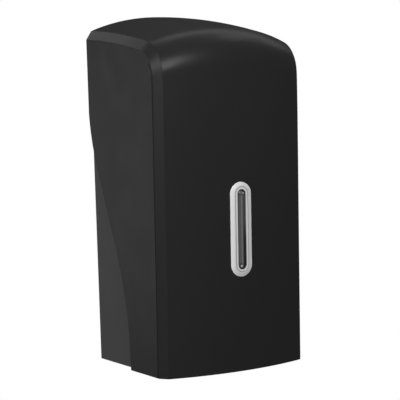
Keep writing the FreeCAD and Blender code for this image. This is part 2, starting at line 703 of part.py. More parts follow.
def cut_seams(body):
    """A fine groove behind each front bevel, which follows the brow a little way."""
    front_half = cover_half - draft * cover_depth
    share = front_half * front_half / (cover_half * cover_half)
    base = cover_depth + lean * top_arch * share - front_bow * share
    bow_slope = 2 * front_bow * front_half / (cover_half * cover_half)
    side_round = brow_round * root(1 + bow_slope * bow_slope)
    curve_y, curve_z = top_curve_centre()
    curve_y = curve_y + front_bow * share
    curve_z = curve_z - top_arch * share
    inner_curve = top_curve - side_round
    guess = side_round - base - lean * cover_height
    round_z = curve_z + root(inner_curve * inner_curve - (guess - curve_y) * (guess - curve_y))
    round_y = side_round / front_cosine - base - lean * round_z
    turn_cosine = root(1 - seam_turn * seam_turn)

    def front_line(setback, height):
        return setback - base - lean * height

    near_set = edge_chamfer + seam_setback
    far_set = near_set + seam_width
    near_round = side_round - near_set
    far_round = side_round - far_set
    groove_half = cover_half - draft * base - seam_depth
    for name, side in BOTH_SIDES:
        seam = new_sketch(body, "YZ_Plane", f"{name}_seam_line", side * groove_half)
        outline(seam, [
            (front_line(near_set, -form_margin), -form_margin),
            (front_line(near_set, round_z), round_z, -near_round),
            (round_y - near_round * turn_cosine, round_z + near_round * seam_turn),
            (round_y - far_round * turn_cosine, round_z + far_round * seam_turn, far_round),
            (front_line(far_set, round_z), round_z),
            (front_line(far_set, -form_margin), -form_margin)])
        pocket(body, seam, form_margin, f"{name}_seam", against=side < 0)


def outside_mid_wall(point):
    """Whether a point of the cover's lower edge is nearer to the outer face than the inner."""
    across_by = abs(point.x)
    depth = -point.y
    middle = cover_wall.value / 2
    bow = front_bow.value * across_by ** 2 / cover_half.value ** 2
    front = cover_depth.value - bow - middle
    flank = cover_half.value - draft.value * depth - middle
    corner = front + flank - edge_chamfer.value
    return depth > front or across_by > flank or depth + across_by > corner


def make_cover():
    body = cover_form("front_cover", as_size(0.0))
    core = cover_form("cover_core", cover_wall)
    hollow = body.newObject("PartDesign::Boolean", "cover_hollow")
    hollow.Type = "Cut"
    hollow.Group = [core]
    doc.recompute()
    fillet(body, "foot_rounding",
           lambda point: near(point.z, 0.0) and outside_mid_wall(point), foot_round)
    rear_cut = new_sketch(body, "YZ_Plane", "rear_cut_line")
    outline(rear_cut, [
        (-cut_depth, -form_margin),
        (-cut_depth, cut_foot, -cut_lower_radius),
        (-cut_lower_reach, cut_lower_height),
        (-cut_upper_reach, cut_upper_height, cut_upper_radius),
        (0, cut_top),
        (form_margin, cut_top),
        (form_margin, -form_margin)])
    cut_through(body, rear_cut, "rear_cut")
    cut_seams(body)

    inner_at_hinge = cover_inner - draft * hinge_reach
    for name, side in BOTH_SIDES:
        start = across(side, housing_inner, inner_at_hinge + socket_depth)
        length = inner_at_hinge + socket_depth - housing_inner
        hole_along_x(body, f"{name}_hinge_socket", start, length,
                     hinge_reach, hinge_height, hinge_pin / 2 + running_play)

    pad_face = cover_inner - draft * lock_reach - lock_pad_height
    cylinder_along_x(body, "lock_pad", pad_face, cover_wall - lock_recess,
                     lock_reach, lock_height, lock_pad / 2)
    hole_along_x(body, "lock_recess", lock_seat, form_margin,
                 lock_reach, lock_height, lock_flange / 2 + window_play)
    hole_along_x(body, "lock_hole", pad_face - end_play, form_margin,
                 lock_reach, lock_height, lock_body_diameter / 2 + fit_play)

    room = 2 * window_play
    recess = window_sketch(body, "window_recess_line", form_margin)
    pill(recess, bezel_length + room, bezel_width + room)
    pocket(body, recess, form_margin + bezel_sink, "window_recess", against=True)
    opening = window_sketch(body, "window_opening_line", form_margin)
    neck = 2 * neck_inset
    pill(opening, bezel_length - neck + room, bezel_width - neck + room)
    pocket(body, opening, form_margin + cover_wall * 2, "window_opening", against=True)
    return body


def pill_layer(body, label, start, length, long, wide, cut=False):
    """Adds or takes away a pill-shaped layer of a window piece."""
    sketch = new_sketch(body, "XY_Plane", f"{label}_line", start)
    pill(sketch, long, wide)
    if cut:
        return pocket(body, sketch, length, label)
    return pad(body, sketch, length, label)


neck_length = bezel_length - 2 * neck_inset
neck_width = bezel_width - 2 * neck_inset
neck_end = bezel_sink + neck_depth
lens_length = slot_length + 2 * lens_rim
lens_width = slot_width + 2 * lens_rim


def make_bezel():
    body = new_body("window_bezel")
    pill_layer(body, "neck", -neck_end, neck_depth, neck_length, neck_width)
    pill_layer(body, "flange", -bezel_sink, bezel_sink + bezel_proud, bezel_length, bezel_width)
    pill_layer(body, "slot", -neck_end - over_cut, neck_end + bezel_proud + over_cut * 2,
               slot_length, slot_width, cut=True)
    pill_layer(body, "lens_seat", -neck_end - over_cut, lens_thickness + over_cut,
               lens_length + 2 * window_play, lens_width + 2 * window_play, cut=True)

    def on_pill(point, height, length, width):
        """Whether a point lies at that height on the outline of a pill of that size."""
        straight = (length - width).value / 2
        along = max(abs(point.y) - straight, 0.0)
        return near(point.z, height) and near(math.hypot(point.x, along), width / 2)

    flank = chamfer(body, "flank",
                    lambda point: on_pill(point, bezel_proud, bezel_length, bezel_width),
                    bezel_proud - bezel_step)
    flank.ChamferType = "Two distances"
    flank.Size2 = bezel_flank.value
    flank.setExpression("Size2", bezel_flank.text)
    doc.recompute()
    top_length = bezel_length - 2 * bezel_flank
    top_width = bezel_width - 2 * bezel_flank
    fillet(body, "brow_round",
           lambda point: on_pill(point, bezel_proud, top_length, top_width), bezel_brow_round)
    fillet(body, "edge_round",
           lambda point: on_pill(point, bezel_step, bezel_length, bezel_width),
           bezel_edge_round)
    lip = 2 * lip_width
    past_lip = lip + 2 * lip_groove_width
    groove = new_sketch(body, "XY_Plane", "lip_groove_line", bezel_proud - lip_groove_depth)
    pill(groove, slot_length + past_lip, slot_width + past_lip)
    pill(groove, slot_length + lip, slot_width + lip)
    pocket(body, groove, lip_groove_depth + over_cut, "lip_groove")
    fillet(body, "lip_rounding",
           lambda point: on_pill(point, bezel_proud, slot_length, slot_width), lip_round)
    stand_in_window(body)
    return body


def make_lens():
    body = new_body("window_lens")
    pill_layer(body, "rim", -neck_end, lens_thickness, lens_length, lens_width)
    bar_start = lens_thickness - neck_end
    room = 2 * window_play
    pill_layer(body, "bar", bar_start, bezel_proud - lens_sink - bar_start,
               slot_length - room, slot_width - room)
    fillet(body, "bar_rounding", lambda point: near(point.z, bezel_proud - lens_sink),
           lens_round)
    stand_in_window(body)
    return body


def make_window_cap():
    body = new_body("window_cap")
    top = -cover_wall - cap_gap
    depth = neck_end + cap_floor + top
    pill_layer(body, "cap", -neck_end - cap_floor, depth, bezel_length, bezel_width)
    pill_layer(body, "neck_seat", -neck_end, neck_depth, neck_length + 2 * fit_play,
               neck_width + 2 * fit_play, cut=True)
    pill_layer(body, "view", -neck_end - cap_floor - over_cut, cap_floor + over_cut * 2,
               slot_length, slot_width, cut=True)
    stand_in_window(body)
    return body


def make_housing():
    body = new_body("back_housing")
    depth = hinge_reach + ear_radius
    plan = new_sketch(body, "XY_Plane", "housing_plan", housing_foot)
    outline(plan, [
        (-housing_outer, 0), (draft * depth - housing_outer, -depth),
        (housing_outer - draft * depth, -depth), (housing_outer, 0)])
    pad(body, plan, housing_top - housing_foot, "housing_block")
    inside = new_sketch(body, "XY_Plane", "housing_inside", housing_foot - over_cut)
    past = depth + over_cut
    outline(inside, [
        (draft * back_thickness - housing_inner, -back_thickness),
        (draft * past - housing_inner, -past),
        (housing_inner - draft * past, -past),
        (housing_inner - draft * back_thickness, -back_thickness)])
    pocket(body, inside, housing_top - housing_foot + over_cut - housing_wall, "housing_hollow")

    # Each ear is round about the hinge, and clears the cover's foot where that swings under it
    ear_top = hinge_height + ear_radius
    ear_low = hinge_height - ear_radius
    ear_heel = hinge_reach - hinge_height - ear_gap
    ear_rise = ear_top - cut_foot
    ear_meets = cut_depth + wall_lap - cut_lower_radius + root(
        cut_lower_radius * cut_lower_radius - ear_rise * ear_rise)
    front = new_sketch(body, "YZ_Plane", "side_wall_line")
    outline(front, [
        (-wall_lap, far),
        (-wall_lap, cut_top, -cut_upper_radius),
        (-cut_upper_reach - wall_lap, cut_upper_height),
        (-cut_lower_reach - wall_lap, cut_lower_height, cut_lower_radius),
        (-ear_meets, ear_top),
        (-hinge_reach, ear_top, ear_radius),
        (-depth, hinge_height, ear_radius),
        (-hinge_reach, ear_low),
        (-ear_heel, ear_low),
        (ear_low + form_margin - ear_heel, -form_margin),
        (-far, -form_margin),
        (-far, far)])
    cut_through(body, front, "side_wall_front")

    inner_at_hinge = housing_inner - draft * hinge_reach
    for name, side in BOTH_SIDES:
        start = across(side, inner_at_hinge - hinge_boss_height, inner_at_hinge + housing_wall / 2)
        cylinder_along_x(body, f"{name}_hinge_boss", start, hinge_boss_height + housing_wall / 2,
                         hinge_reach, hinge_height, hinge_boss / 2)
        start = across(side, inner_at_hinge - hinge_boss_height - over_cut, cover_half)
        hole_along_x(body, f"{name}_hinge_hole", start,
                     cover_half - inner_at_hinge + hinge_boss_height + over_cut,
                     hinge_reach, hinge_height, hinge_pin / 2 + fit_play)

    rail_bosses = new_sketch(body, "XZ_Plane", "rail_bosses_line", back_thickness / 2)
    rail_pilots = new_sketch(body, "XZ_Plane", "rail_pilots_line", pilot_floor)
    for place, height in rail_screw_places():
        circle(rail_bosses, place, height, boss_diameter / 2)
        circle(rail_pilots, place, height, screw_shank / 2 + fit_play)
    pad(body, rail_bosses, back_thickness / 2 + boss_height, "rail_bosses")
    keeper_bosses = new_sketch(body, "XZ_Plane", "keeper_bosses_line", back_thickness / 2)
    for place, height in keeper_screw_places():
        circle(keeper_bosses, place, height, boss_diameter / 2)
        circle(rail_pilots, place, height, screw_shank / 2 + fit_play)
    pad(body, keeper_bosses, seat_line - keeper_sheet - back_thickness / 2, "keeper_bosses")
    pocket(body, rail_pilots, seat_line, "screw_pilots")

    ribs = new_sketch(body, "XZ_Plane", "ribs_line", back_thickness / 2)
    for side in (-1, 1):
        middle = side * rib_place
        rectangle(ribs, middle - rib_width / 2, housing_foot + rib_end,
                  middle + rib_width / 2, housing_top - rib_end)
    pad(body, ribs, back_thickness / 2 + rib_depth, "ribs")

    pads = new_sketch(body, "XZ_Plane", "wall_pads_line", back_thickness / 2)
    holes = new_sketch(body, "XZ_Plane", "wall_holes_line", -over_cut)
    for side in (-1, 1):
        for level in (-1, 1):
            place = side * screw_spacing_across / 2
            height = wall_screw_height + level * screw_spacing_up / 2
            circle(pads, place, height, wall_screw_pad / 2)
            circle(holes, place, height, wall_screw_hole / 2)
    pad(body, pads, back_thickness / 2 + pad_thickness, "wall_pads")
    pocket(body, holes, back_thickness + pad_thickness + over_cut * 2, "wall_holes")
    return body


rail_low = grip_height + tab_length + rail_lift
rail_rear_top = reserve_height + rail_rear_head
rail_top = reserve_height + rail_head
flange_middle = (rail_outer + flange_outer) / 2
pilot_floor = seat_line - rail_flange - screw_bite - pilot_spare


def rail_screw_places():
    levels = (rail_low + rail_screw_inset, rail_rear_top - rail_screw_inset)
    return [(side * flange_middle, level) for side in (-1, 1) for level in levels]


keeper_top = lock_height - lock_body_diameter / 2 - keeper_drop
keeper_leaf = cam_outer + keeper_side


def keeper_screw_places():
    place = keeper_leaf - keeper_foot / 2
    middle = keeper_top - keeper_height / 2
    return [(place, middle - keeper_screw_pitch / 2), (place, middle + keeper_screw_pitch / 2)]


shaft_place = (-shaft_reach, shaft_height)
arm_tip = (ledge_rear - axis_reach, reserve_height - trunnion / 2 - seat_play - ledge_thickness)


def unit(start, end):
    """The direction from start to end, as two parts of a unit length."""
    run = end[0] - start[0]
    rise = end[1] - start[1]
    length = root(run * run + rise * rise)
    return run / length, rise / length


arm_end = (arm_tip[0] - arm_width / 2, arm_tip[1] + ledge_thickness / 4)
arm_way = unit(shaft_place, arm_end)


def beside_arm(place, offset):
    """A point so far along the catch arm from the shaft, and so far behind its middle line."""
    run, rise = arm_way
    return (run * place + rise * offset - shaft_reach, rise * place - run * offset + shaft_height)


def bar(sketch, start, end, width):
    """A straight bar's outline from start to end."""
    run, rise = unit(start, end)
    half = width / 2
    outline(sketch, [
        (start[0] + rise * half, start[1] - run * half),
        (end[0] + rise * half, end[1] - run * half),
        (end[0] - rise * half, end[1] + run * half),
        (start[0] - rise * half, start[1] + run * half)])


def make_rail(name, side):
    body = new_body(f"{name}_roll_rail")
    track_half = trunnion / 2 + track_play
    front = axis_reach + track_half + track_wall
    behind = axis_reach - track_half - track_wall
    rear = seat_line - rail_flange
    plate = new_sketch(body, "YZ_Plane", "plate_line", across(side, rail_inner, rail_outer))
    outline(plate, [
        (-rear, rail_low), (-rear, rail_rear_top), (-behind, rail_rear_top),
        (-behind, rail_top), (-front, rail_top), (-front, rail_low)])
    pad(body, plate, rail_thickness, "plate")
    flange = new_sketch(body, "XZ_Plane", "flange_line", rear)
    left = across(side, rail_outer - over_cut, flange_outer)
    rectangle(flange, left, rail_low, left + rail_flange_width + over_cut, rail_rear_top)
    pad(body, flange, rail_flange, "flange")

    seat = spindle_height - trunnion / 2 - seat_play
    mouth = rail_top - mouth_depth
    past = rail_top + over_cut
    flare = track_half + mouth_flare * (1 + over_cut / mouth_depth)
    track = new_sketch(body, "YZ_Plane", "track_line",
                       across(side, rail_inner - over_cut, rail_inner + track_depth))
    outline(track, [
        (-axis_reach - track_half, seat), (track_half - axis_reach, seat),
        (track_half - axis_reach, mouth), (flare - axis_reach, past),
        (-axis_reach - flare, past), (-axis_reach - track_half, mouth)])
    pocket(body, track, track_depth + over_cut, "track")

    low_edge = rear + rail_window_edge
    front_edge = behind + track_wall / 2 - rail_window_edge
    windows = new_sketch(body, "YZ_Plane", "openings_line")
    rounded_rectangle(windows, -front_edge, rail_low + rail_window_edge,
                      -low_edge, shaft_height - shaft_web, rail_window_round)
    rounded_rectangle(windows, -front_edge, shaft_height + stop_web,
                      -low_edge, rail_rear_top - rail_window_edge, rail_window_round)
    cut_through(body, windows, "openings")

    bearing = new_sketch(body, "YZ_Plane", "bearing_line")
    circle(bearing, -shaft_reach, shaft_height, shaft_diameter / 2 + running_play)
    cut_through(body, bearing, "bearing")
    stop_y, stop_z = beside_arm(stop_place, (arm_width + stop_pin) / 2 + stop_gap)
    stop_root = rail_inner + over_cut
    stop = new_sketch(body, "YZ_Plane", "stop_line", across(side, arm_inner, stop_root))
    circle(stop, stop_y, stop_z, stop_pin / 2)
    pad(body, stop, stop_root - arm_inner, "stop")

    holes = new_sketch(body, "XZ_Plane", "screw_holes_line", rear - over_cut)
    for place, height in rail_screw_places():
        if place.value * side > 0:
            circle(holes, place, height, screw_shank / 2 + screw_hole_play)
    pocket(body, holes, rail_flange + over_cut * 2, "screw_holes")

    def is_corner(point):
        level = any(near(point.z, height) for height in (rail_low, rail_top, rail_rear_top))
        return level and (near(point.y, -front) or near(point.y, -behind))

    fillet(body, "rounded_corners", is_corner, rail_round)
    return body


def make_hinge_pin(name, side):
    inner_at_hinge = housing_inner - draft * hinge_reach
    start = inner_at_hinge - hinge_boss_height
    length = cover_inner - draft * hinge_reach + socket_depth - end_play - start
    radius = hinge_pin / 2
    body = turned(f"{name}_hinge_pin", [
        (0, -head_thickness), (hinge_head / 2 - fine_bevel, -head_thickness),
        (hinge_head / 2, fine_bevel - head_thickness), (hinge_head / 2, 0), (radius, 0),
        (radius, length - fine_bevel), (radius - fine_bevel, length), (0, length)])
    stand_along_x(body, side * start, hinge_reach, hinge_height, side)
    return body


def make_keeper():
    body = new_body("latch_keeper")
    front = lock_reach + cam_width / 2 + keeper_gap + keeper_sheet
    foot = keeper_leaf - keeper_foot
    outer = keeper_leaf + keeper_sheet
    section = new_sketch(body, "XY_Plane", "keeper_section", keeper_top - keeper_height)
    outline(section, [
        (foot, keeper_sheet - seat_line), (foot, -seat_line), (keeper_leaf, -seat_line),
        (keeper_leaf, keeper_sheet - front), (cam_inner, keeper_sheet - front),
        (cam_inner, -front), (outer, -front), (outer, keeper_sheet - seat_line)])
    pad(body, section, keeper_height, "keeper_sheet")
    holes = new_sketch(body, "XZ_Plane", "keeper_holes_line",
                       seat_line - keeper_sheet - over_cut)
    for place, height in keeper_screw_places():
        circle(holes, place, height, screw_shank / 2 + screw_hole_play)
    pocket(body, holes, keeper_sheet + over_cut * 2, "keeper_holes")

    def is_upright(point, across_x, along_y):
        return near(point.x, across_x) and near(point.y, along_y)

    fillet(body, "inner_bends", lambda point: is_upright(point, keeper_leaf, -seat_line)
           or is_upright(point, keeper_leaf, keeper_sheet - front), keeper_bend)
    fillet(body, "outer_bends", lambda point: is_upright(point, outer, keeper_sheet - seat_line)
           or is_upright(point, outer, -front), keeper_bend + keeper_sheet)
    return body


def cross(sketch, place, height, length, width):
    """A cross-shaped recess's outline."""
    arm = length / 2
    half = width / 2
    corners = [(half, -arm), (half, -half), (arm, -half), (arm, half), (half, half), (half, arm)]
    corners += [(-half, arm), (-half, half), (-arm, half), (-arm, -half), (-half, -half),
                (-half, -arm)]
    outline(sketch, [(place + across_x, height + up) for across_x, up in corners])


def make_housing_screws():
    body = new_body("housing_screws")
    body.AllowCompound = True
    bite = rail_flange + screw_bite
    heads = new_sketch(body, "XZ_Plane", "heads_line", seat_line)
    shanks = new_sketch(body, "XZ_Plane", "shanks_line", seat_line - bite)
    recesses = new_sketch(body, "XZ_Plane", "recesses_line",
                          seat_line + screw_head_height - cross_depth)
    for place, height in rail_screw_places() + keeper_screw_places():
        circle(heads, place, height, screw_head / 2)
        circle(shanks, place, height, screw_shank / 2)
        cross(recesses, place, height, cross_length, cross_width)
    pad(body, shanks, bite, "shanks")
    pad(body, heads, screw_head_height, "heads")
    fillet(body, "rounded_heads", lambda point: near(point.y, -seat_line - screw_head_height),
           screw_head_height / 2)
    pocket(body, recesses, cross_depth + over_cut, "recesses")
    return body


def make_lock_body():
    low = -lock_length
    radius = lock_body_diameter / 2
    bore = barrel_diameter / 2 + running_play
    neck = barrel_neck / 2 + running_play
    shoulder = fine_bevel + end_play
    face = lock_flange_thickness
    body = turned("lock_body", [
        (bore, low), (radius - fine_bevel, low), (radius, low + fine_bevel), (radius, 0),
        (lock_flange / 2, 0), (lock_flange / 2, face - fine_bevel * 2),
        (lock_flange / 2 - fine_bevel * 2, face), (neck, face), (neck, shoulder),
        (bore, shoulder)])
    stand_along_x(body, lock_seat, lock_reach, lock_height)
    return body


def make_lock_barrel():
    low = -lock_length
    radius = barrel_diameter / 2
    face = lock_flange_thickness - barrel_sink
    square_end = cam_gap + cam_thickness - end_play / 2
    body = turned("lock_barrel", [
        (0, low - end_play / 2), (radius, low - end_play / 2), (radius, fine_bevel),
        (barrel_neck / 2, fine_bevel), (barrel_neck / 2, face - fine_bevel / 2),
        (barrel_neck / 2 - fine_bevel / 2, face), (0, face)])
    square = new_sketch(body, "XY_Plane", "square_line", low - square_end)
    half = cam_square / 2
    rectangle(square, -half, -half, half, half)
    pad(body, square, square_end, "square")
    slot = new_sketch(body, "XY_Plane", "key_slot_line", face - key_slot_depth)
    rectangle(slot, -key_slot_length / 2, -key_slot_width / 2,
              key_slot_length / 2, key_slot_width / 2)
    pocket(body, slot, key_slot_depth + over_cut, "key_slot")
    pilot = new_sketch(body, "XY_Plane", "pilot_line", low - square_end - over_cut)
    circle(pilot, 0, 0, cam_screw_shank / 2 + fit_play)
    pocket(body, pilot, cam_screw_bite + pilot_spare + over_cut, "pilot")
    stand_along_x(body, lock_seat, lock_reach, lock_height)
    return body


def make_cam():
    body = new_body("lock_cam")
    half = cam_width / 2
    end = cam_reach - half - lock_reach
    blade = new_sketch(body, "YZ_Plane", "cam_line", cam_inner)
    outline(blade, [
        (-lock_reach, lock_height - half), (end, lock_height - half, half),
        (end + half, lock_height, half), (end, lock_height + half),
        (-lock_reach, lock_height + half, half), (-lock_reach - half, lock_height, half)])
    pad(body, blade, cam_thickness, "cam_blade")
    hole = new_sketch(body, "YZ_Plane", "cam_square_line", cam_inner - over_cut)
    square = cam_square / 2 + fit_play
    rectangle(hole, -lock_reach - square, lock_height - square,
              square - lock_reach, lock_height + square)
    pocket(body, hole, cam_thickness + over_cut * 2, "cam_square_hole")
    return body


def make_cam_screw():
    body = turned("cam_screw", [
        (0, -cam_screw_head_height), (cam_screw_head / 2 - fine_bevel, -cam_screw_head_height),
        (cam_screw_head / 2, fine_bevel - cam_screw_head_height), (cam_screw_head / 2, 0),
        (cam_screw_shank / 2, 0), (cam_screw_shank / 2, cam_screw_bite), (0, cam_screw_bite)])
    recess = new_sketch(body, "XY_Plane", "recess_line", -cam_screw_head_height - over_cut)
    cross(recess, as_size(0), as_size(0), cross_length, cross_width)
    pocket(body, recess, cam_screw_head_height / 2 + over_cut, "recess")
    stand_along_x(body, cam_inner, lock_reach, lock_height)
    return body


def make_lock_nut():
    body = new_body("lock_nut")
    face = cover_inner - draft * lock_reach - lock_pad_height
    hexagon = new_sketch(body, "YZ_Plane", "hexagon_line", face - nut_thickness)
    half = nut_width / 2
    corner = nut_width / math.sqrt(3)
    flat = corner / 2
    outline(hexagon, [
        (-lock_reach - corner, lock_height), (-lock_reach - flat, lock_height - half),
        (flat - lock_reach, lock_height - half), (corner - lock_reach, lock_height),
        (flat - lock_reach, lock_height + half), (-lock_reach - flat, lock_height + half)])
    pad(body, hexagon, nut_thickness, "hexagon")
    hole_along_x(body, "nut_bore", face - nut_thickness - over_cut, nut_thickness + over_cut * 2,
                 lock_reach, lock_height, lock_body_diameter / 2 + fit_play)
    return body


def make_shaft():
    clip_low = rail_outer + clip_gap
    groove_low = clip_low - clip_play
    groove_high = clip_low + clip_thickness + clip_play
    end = groove_high + shaft_end
    radius = shaft_diameter / 2
    floor = radius - clip_groove
    upper = [(radius, groove_low), (floor, groove_low), (floor, groove_high),
             (radius, groove_high), (radius, end - fine_bevel), (radius - fine_bevel, end),
             (0, end)]
    lower = [(width, -height) for width, height in reversed(upper)]
    body = turned("cross_shaft", lower + upper)
    stand_along_x(body, as_size(0.0), shaft_reach, shaft_height)
    return body


def make_clips():
    body = new_body("shaft_clips")
    body.AllowCompound = True
    outer = clip_diameter / 2
    inner = shaft_diameter / 2 - clip_groove + fit_play
    mouth = clip_mouth / 2
    outer_run = root(outer * outer - mouth * mouth)
    inner_run = root(inner * inner - mouth * mouth)
    for name, side in BOTH_SIDES:
        clip_low = rail_outer + clip_gap
        ring = new_sketch(body, "YZ_Plane", f"{name}_clip_line",
                          across(side, clip_low, clip_low + clip_thickness))
        y, z = shaft_place
        outline(ring, [
            (y - outer_run, z - mouth, outer), (y + outer, z, outer),
            (y - outer_run, z + mouth), (y - inner_run, z + mouth, -inner),
            (y + inner, z, -inner), (y - inner_run, z - mouth)])
        pad(body, ring, clip_thickness, f"{name}_clip")
    return body


def make_catch_arm(label, side):
    """Hub, arm and ledge of one side of the catch."""
    body = new_body(label)
    start = across(side, arm_inner, arm_inner + arm_thickness)
    tip_y, tip_z = arm_tip
    top = tip_z + ledge_thickness
    nose = -axis_reach - ledge_front
    hub = new_sketch(body, "YZ_Plane", "hub_line", start)
    circle(hub, -shaft_reach, shaft_height, arm_hub / 2)
    pad(body, hub, arm_thickness, "hub")
    arm = new_sketch(body, "YZ_Plane", "arm_line", start)
    bar(arm, shaft_place, arm_end, arm_width)
    pad(body, arm, arm_thickness, "arm")
    ledge = new_sketch(body, "YZ_Plane", "ledge_line", start)
    outline(ledge, [
        (tip_y, top), (nose, top), (nose, top - ledge_nose),
        (nose + ledge_nose, tip_z), (tip_y, tip_z)])
    pad(body, ledge, arm_thickness, "ledge")
    return body


def drill_hub(body, side):
    start = across(side, arm_inner - over_cut, arm_inner + arm_thickness + over_cut)
    hole_along_x(body, "shaft_hole", start, arm_thickness + over_cut * 2,
                 shaft_reach, shaft_height, shaft_diameter / 2 + fit_play)


def make_left_arm():
    body = make_catch_arm("left_catch_arm", -1)
    drill_hub(body, -1)
    return body


knee = (-knee_reach, knee_height)
lever_end = (-grip_reach, grip_height)
tab_way = unit(knee, lever_end)
tab_start = (lever_end[0] - tab_way[0] * tab_length, lever_end[1] - tab_way[1] * tab_length)


def make_right_lever():
    body = make_catch_arm("right_catch_lever", 1)
    for label, start, end, width in (
            ("upper_link", shaft_place, knee, arm_width),
            ("lower_link", knee, tab_start, arm_width)):
        link = new_sketch(body, "YZ_Plane", f"{label}_line", arm_inner)
        bar(link, start, end, width)
        pad(body, link, arm_thickness, label)
    joint = new_sketch(body, "YZ_Plane", "knee_line", arm_inner)
    circle(joint, knee[0], knee[1], arm_width / 2)
    pad(body, joint, arm_thickness, "knee")
    tab = new_sketch(body, "YZ_Plane", "tab_line", arm_inner)
    bar(tab, tab_start, lever_end, tab_thickness)
    pad(body, tab, tab_width, "finger_tab")
    root_block = new_sketch(body, "YZ_Plane", "tab_root_line", arm_inner)
    bar(root_block, tab_start, lever_end, arm_width)
    pad(body, root_block, arm_thickness, "tab_root")
    lug_y, lug_z = lug_point
    lug = new_sketch(body, "YZ_Plane", "lug_line", arm_inner - lug_length)
    circle(lug, lug_y, lug_z, lug_diameter / 2)
    pad(body, lug, lug_length + over_cut, "spring_lug")
    drill_hub(body, 1)
    return body


def make_grip():
    body = new_body("lever_grip")
    start = arm_inner + arm_thickness + grip_play
    run, rise = tab_way
    length = tab_width - arm_thickness + grip_wall
    play = grip_play
    low = (lever_end[0] + run * grip_wall, lever_end[1] + rise * grip_wall)
    shell = new_sketch(body, "YZ_Plane", "grip_line", start)
    bar(shell, tab_start, low, tab_thickness + 2 * grip_wall)
    pad(body, shell, length, "grip_block")
    fillet(body, "rounded_grip", lambda point: near(point.x, start + length), grip_round)
    inside = new_sketch(body, "YZ_Plane", "grip_inside_line", start - over_cut)
    back = (tab_start[0] - run, tab_start[1] - rise)
    end = (lever_end[0] + run * play, lever_end[1] + rise * play)
    bar(inside, back, end, tab_thickness + 2 * play)
    pocket(body, inside, tab_width - arm_thickness + over_cut + play, "grip_inside")
    return body


# Spindles: a sleeve with one square end, and a sprung plunger with the other
sleeve_end = sleeve_share
collar_start = sleeve_share + plunger_travel + travel_spare
stem_start = sleeve_share - stem_lap
bore_floor = bore_end - spindle_half
square_reach = rail_inner + track_depth - end_play


def square_end(body, start, length):
    half = trunnion / 2
    sketch = new_sketch(body, "XY_Plane", "square_line", start)
    rectangle(sketch, -half, -half, half, half)
    pad(body, sketch, length, "square_end")
    tip = start + length if start.value > 0 else start
    chamfer(body, "square_bevel", lambda point: near(point.z, tip), fine_bevel * 2)


def make_sleeve(name, height):
    radius = spindle_diameter / 2
    body = turned(f"{name}_spindle_sleeve", [
        (0, -spindle_half), (radius - spindle_bevel, -spindle_half),
        (radius, spindle_bevel - spindle_half), (radius, sleeve_end),
        (bore_diameter / 2, sleeve_end), (bore_diameter / 2, bore_floor), (0, bore_floor)])
    square_end(body, -square_reach, square_reach - spindle_half)
    stand_along_x(body, as_size(0.0), axis_reach, height)
    return body


def make_plunger(name, height):
    radius = spindle_diameter / 2
    stem = bore_diameter / 2 - running_play
    body = turned(f"{name}_spindle_plunger", [
        (0, stem_start), (stem - fine_bevel, stem_start), (stem, stem_start + fine_bevel),
        (stem, collar_start), (radius, collar_start), (radius, spindle_half - spindle_bevel),
        (radius - spindle_bevel, spindle_half), (0, spindle_half)])
    square_end(body, spindle_half, square_reach - spindle_half)
    stand_along_x(body, as_size(0.0), axis_reach, height)
    return body


# Springs: one wire each, swept along arcs that follow its turns
def arc_from(start, tangent, end, reach):
    """The arc that leaves start along the tangent and ends at end."""
    corner = start + tangent * reach
    middle = (start + end) * 0.5
    half = (end - start).Length / 2
    bend = math.acos(min(half / reach, 1.0))
    rise = half * math.tan(bend / 2)
    return Part.Arc(start, middle + (corner - middle).normalize() * rise, end).toShape()


def biarc(start, start_way, end, end_way):
    """Two arcs that join two points, along the given unit directions."""
    chord = end - start
    ways = start_way + end_way
    along = chord.dot(ways)
    bend = 2 * (1 - start_way.dot(end_way))
    reach = (math.sqrt(along * along + bend * chord.dot(chord)) - along) / bend
    joint = (start + start_way * reach + end - end_way * reach) * 0.5
    joint_way = (joint - start - start_way * reach).normalize()
    return [arc_from(start, start_way, joint, reach), arc_from(joint, joint_way, end, reach)]


ARCS_A_TURN = 4


def coil_edges(radius, turns, rise_at, slope_at, first_angle):
    """Arcs along a coil about X. Its place along X after so many turns comes from rise_at."""
    steps = round(turns * ARCS_A_TURN)
    nodes = []
    for step in range(steps + 1):
        done = turns * step / steps
        angle = first_angle + 2 * math.pi * done
        point = Vector(rise_at(done), radius * math.cos(angle), radius * math.sin(angle))
        way = Vector(slope_at(done) / (2 * math.pi), -radius * math.sin(angle),
                     radius * math.cos(angle)).normalize()
        nodes.append((point, way))
    edges = []
    for first, second in zip(nodes, nodes[1:]):
        edges += biarc(first[0], first[1], second[0], second[1])
    return edges, nodes


def wire_along(label, edges, thickness, place, turn_gap_from):
    """A round wire along the edges, as one solid. Prints its least gap to itself."""
    spine = Part.Wire(edges)
    first = edges[0]
    begin = first.valueAt(first.FirstParameter)
    way = first.tangentAt(first.FirstParameter)
    ring = Part.Wire([Part.Circle(begin, way, thickness / 2).toShape()])
    shell = Part.BRepOffsetAPI.MakePipeShell(spine)
    shell.add(ring)
    shell.build()
    shell.makeSolid()
    spring = doc.addObject("Part::Feature", label)
    spring.Label = label
    spring.Shape = shell.shape()
    spring.Placement = FreeCAD.Placement(place, FreeCAD.Rotation())
    parts.append(spring)

    points = []
    walked = 0.0
    for edge in edges:
        count = max(int(edge.Length / thickness), 2)
        for step in range(count):
            share = (edge.LastParameter - edge.FirstParameter) * step / count
            points.append((walked + edge.Length * step / count,
                           edge.valueAt(edge.FirstParameter + share)))
        walked += edge.Length
    gap = min((a[1] - b[1]).Length for a in points for b in points
              if b[0] - a[0] > turn_gap_from)
    section = math.pi * thickness * thickness / 4
    ratio = spring.Shape.Volume / (section * walked)
    print(f"{label}: least gap to itself {gap - thickness:.2f} mm, volume ratio {ratio:.3f}")
    return spring


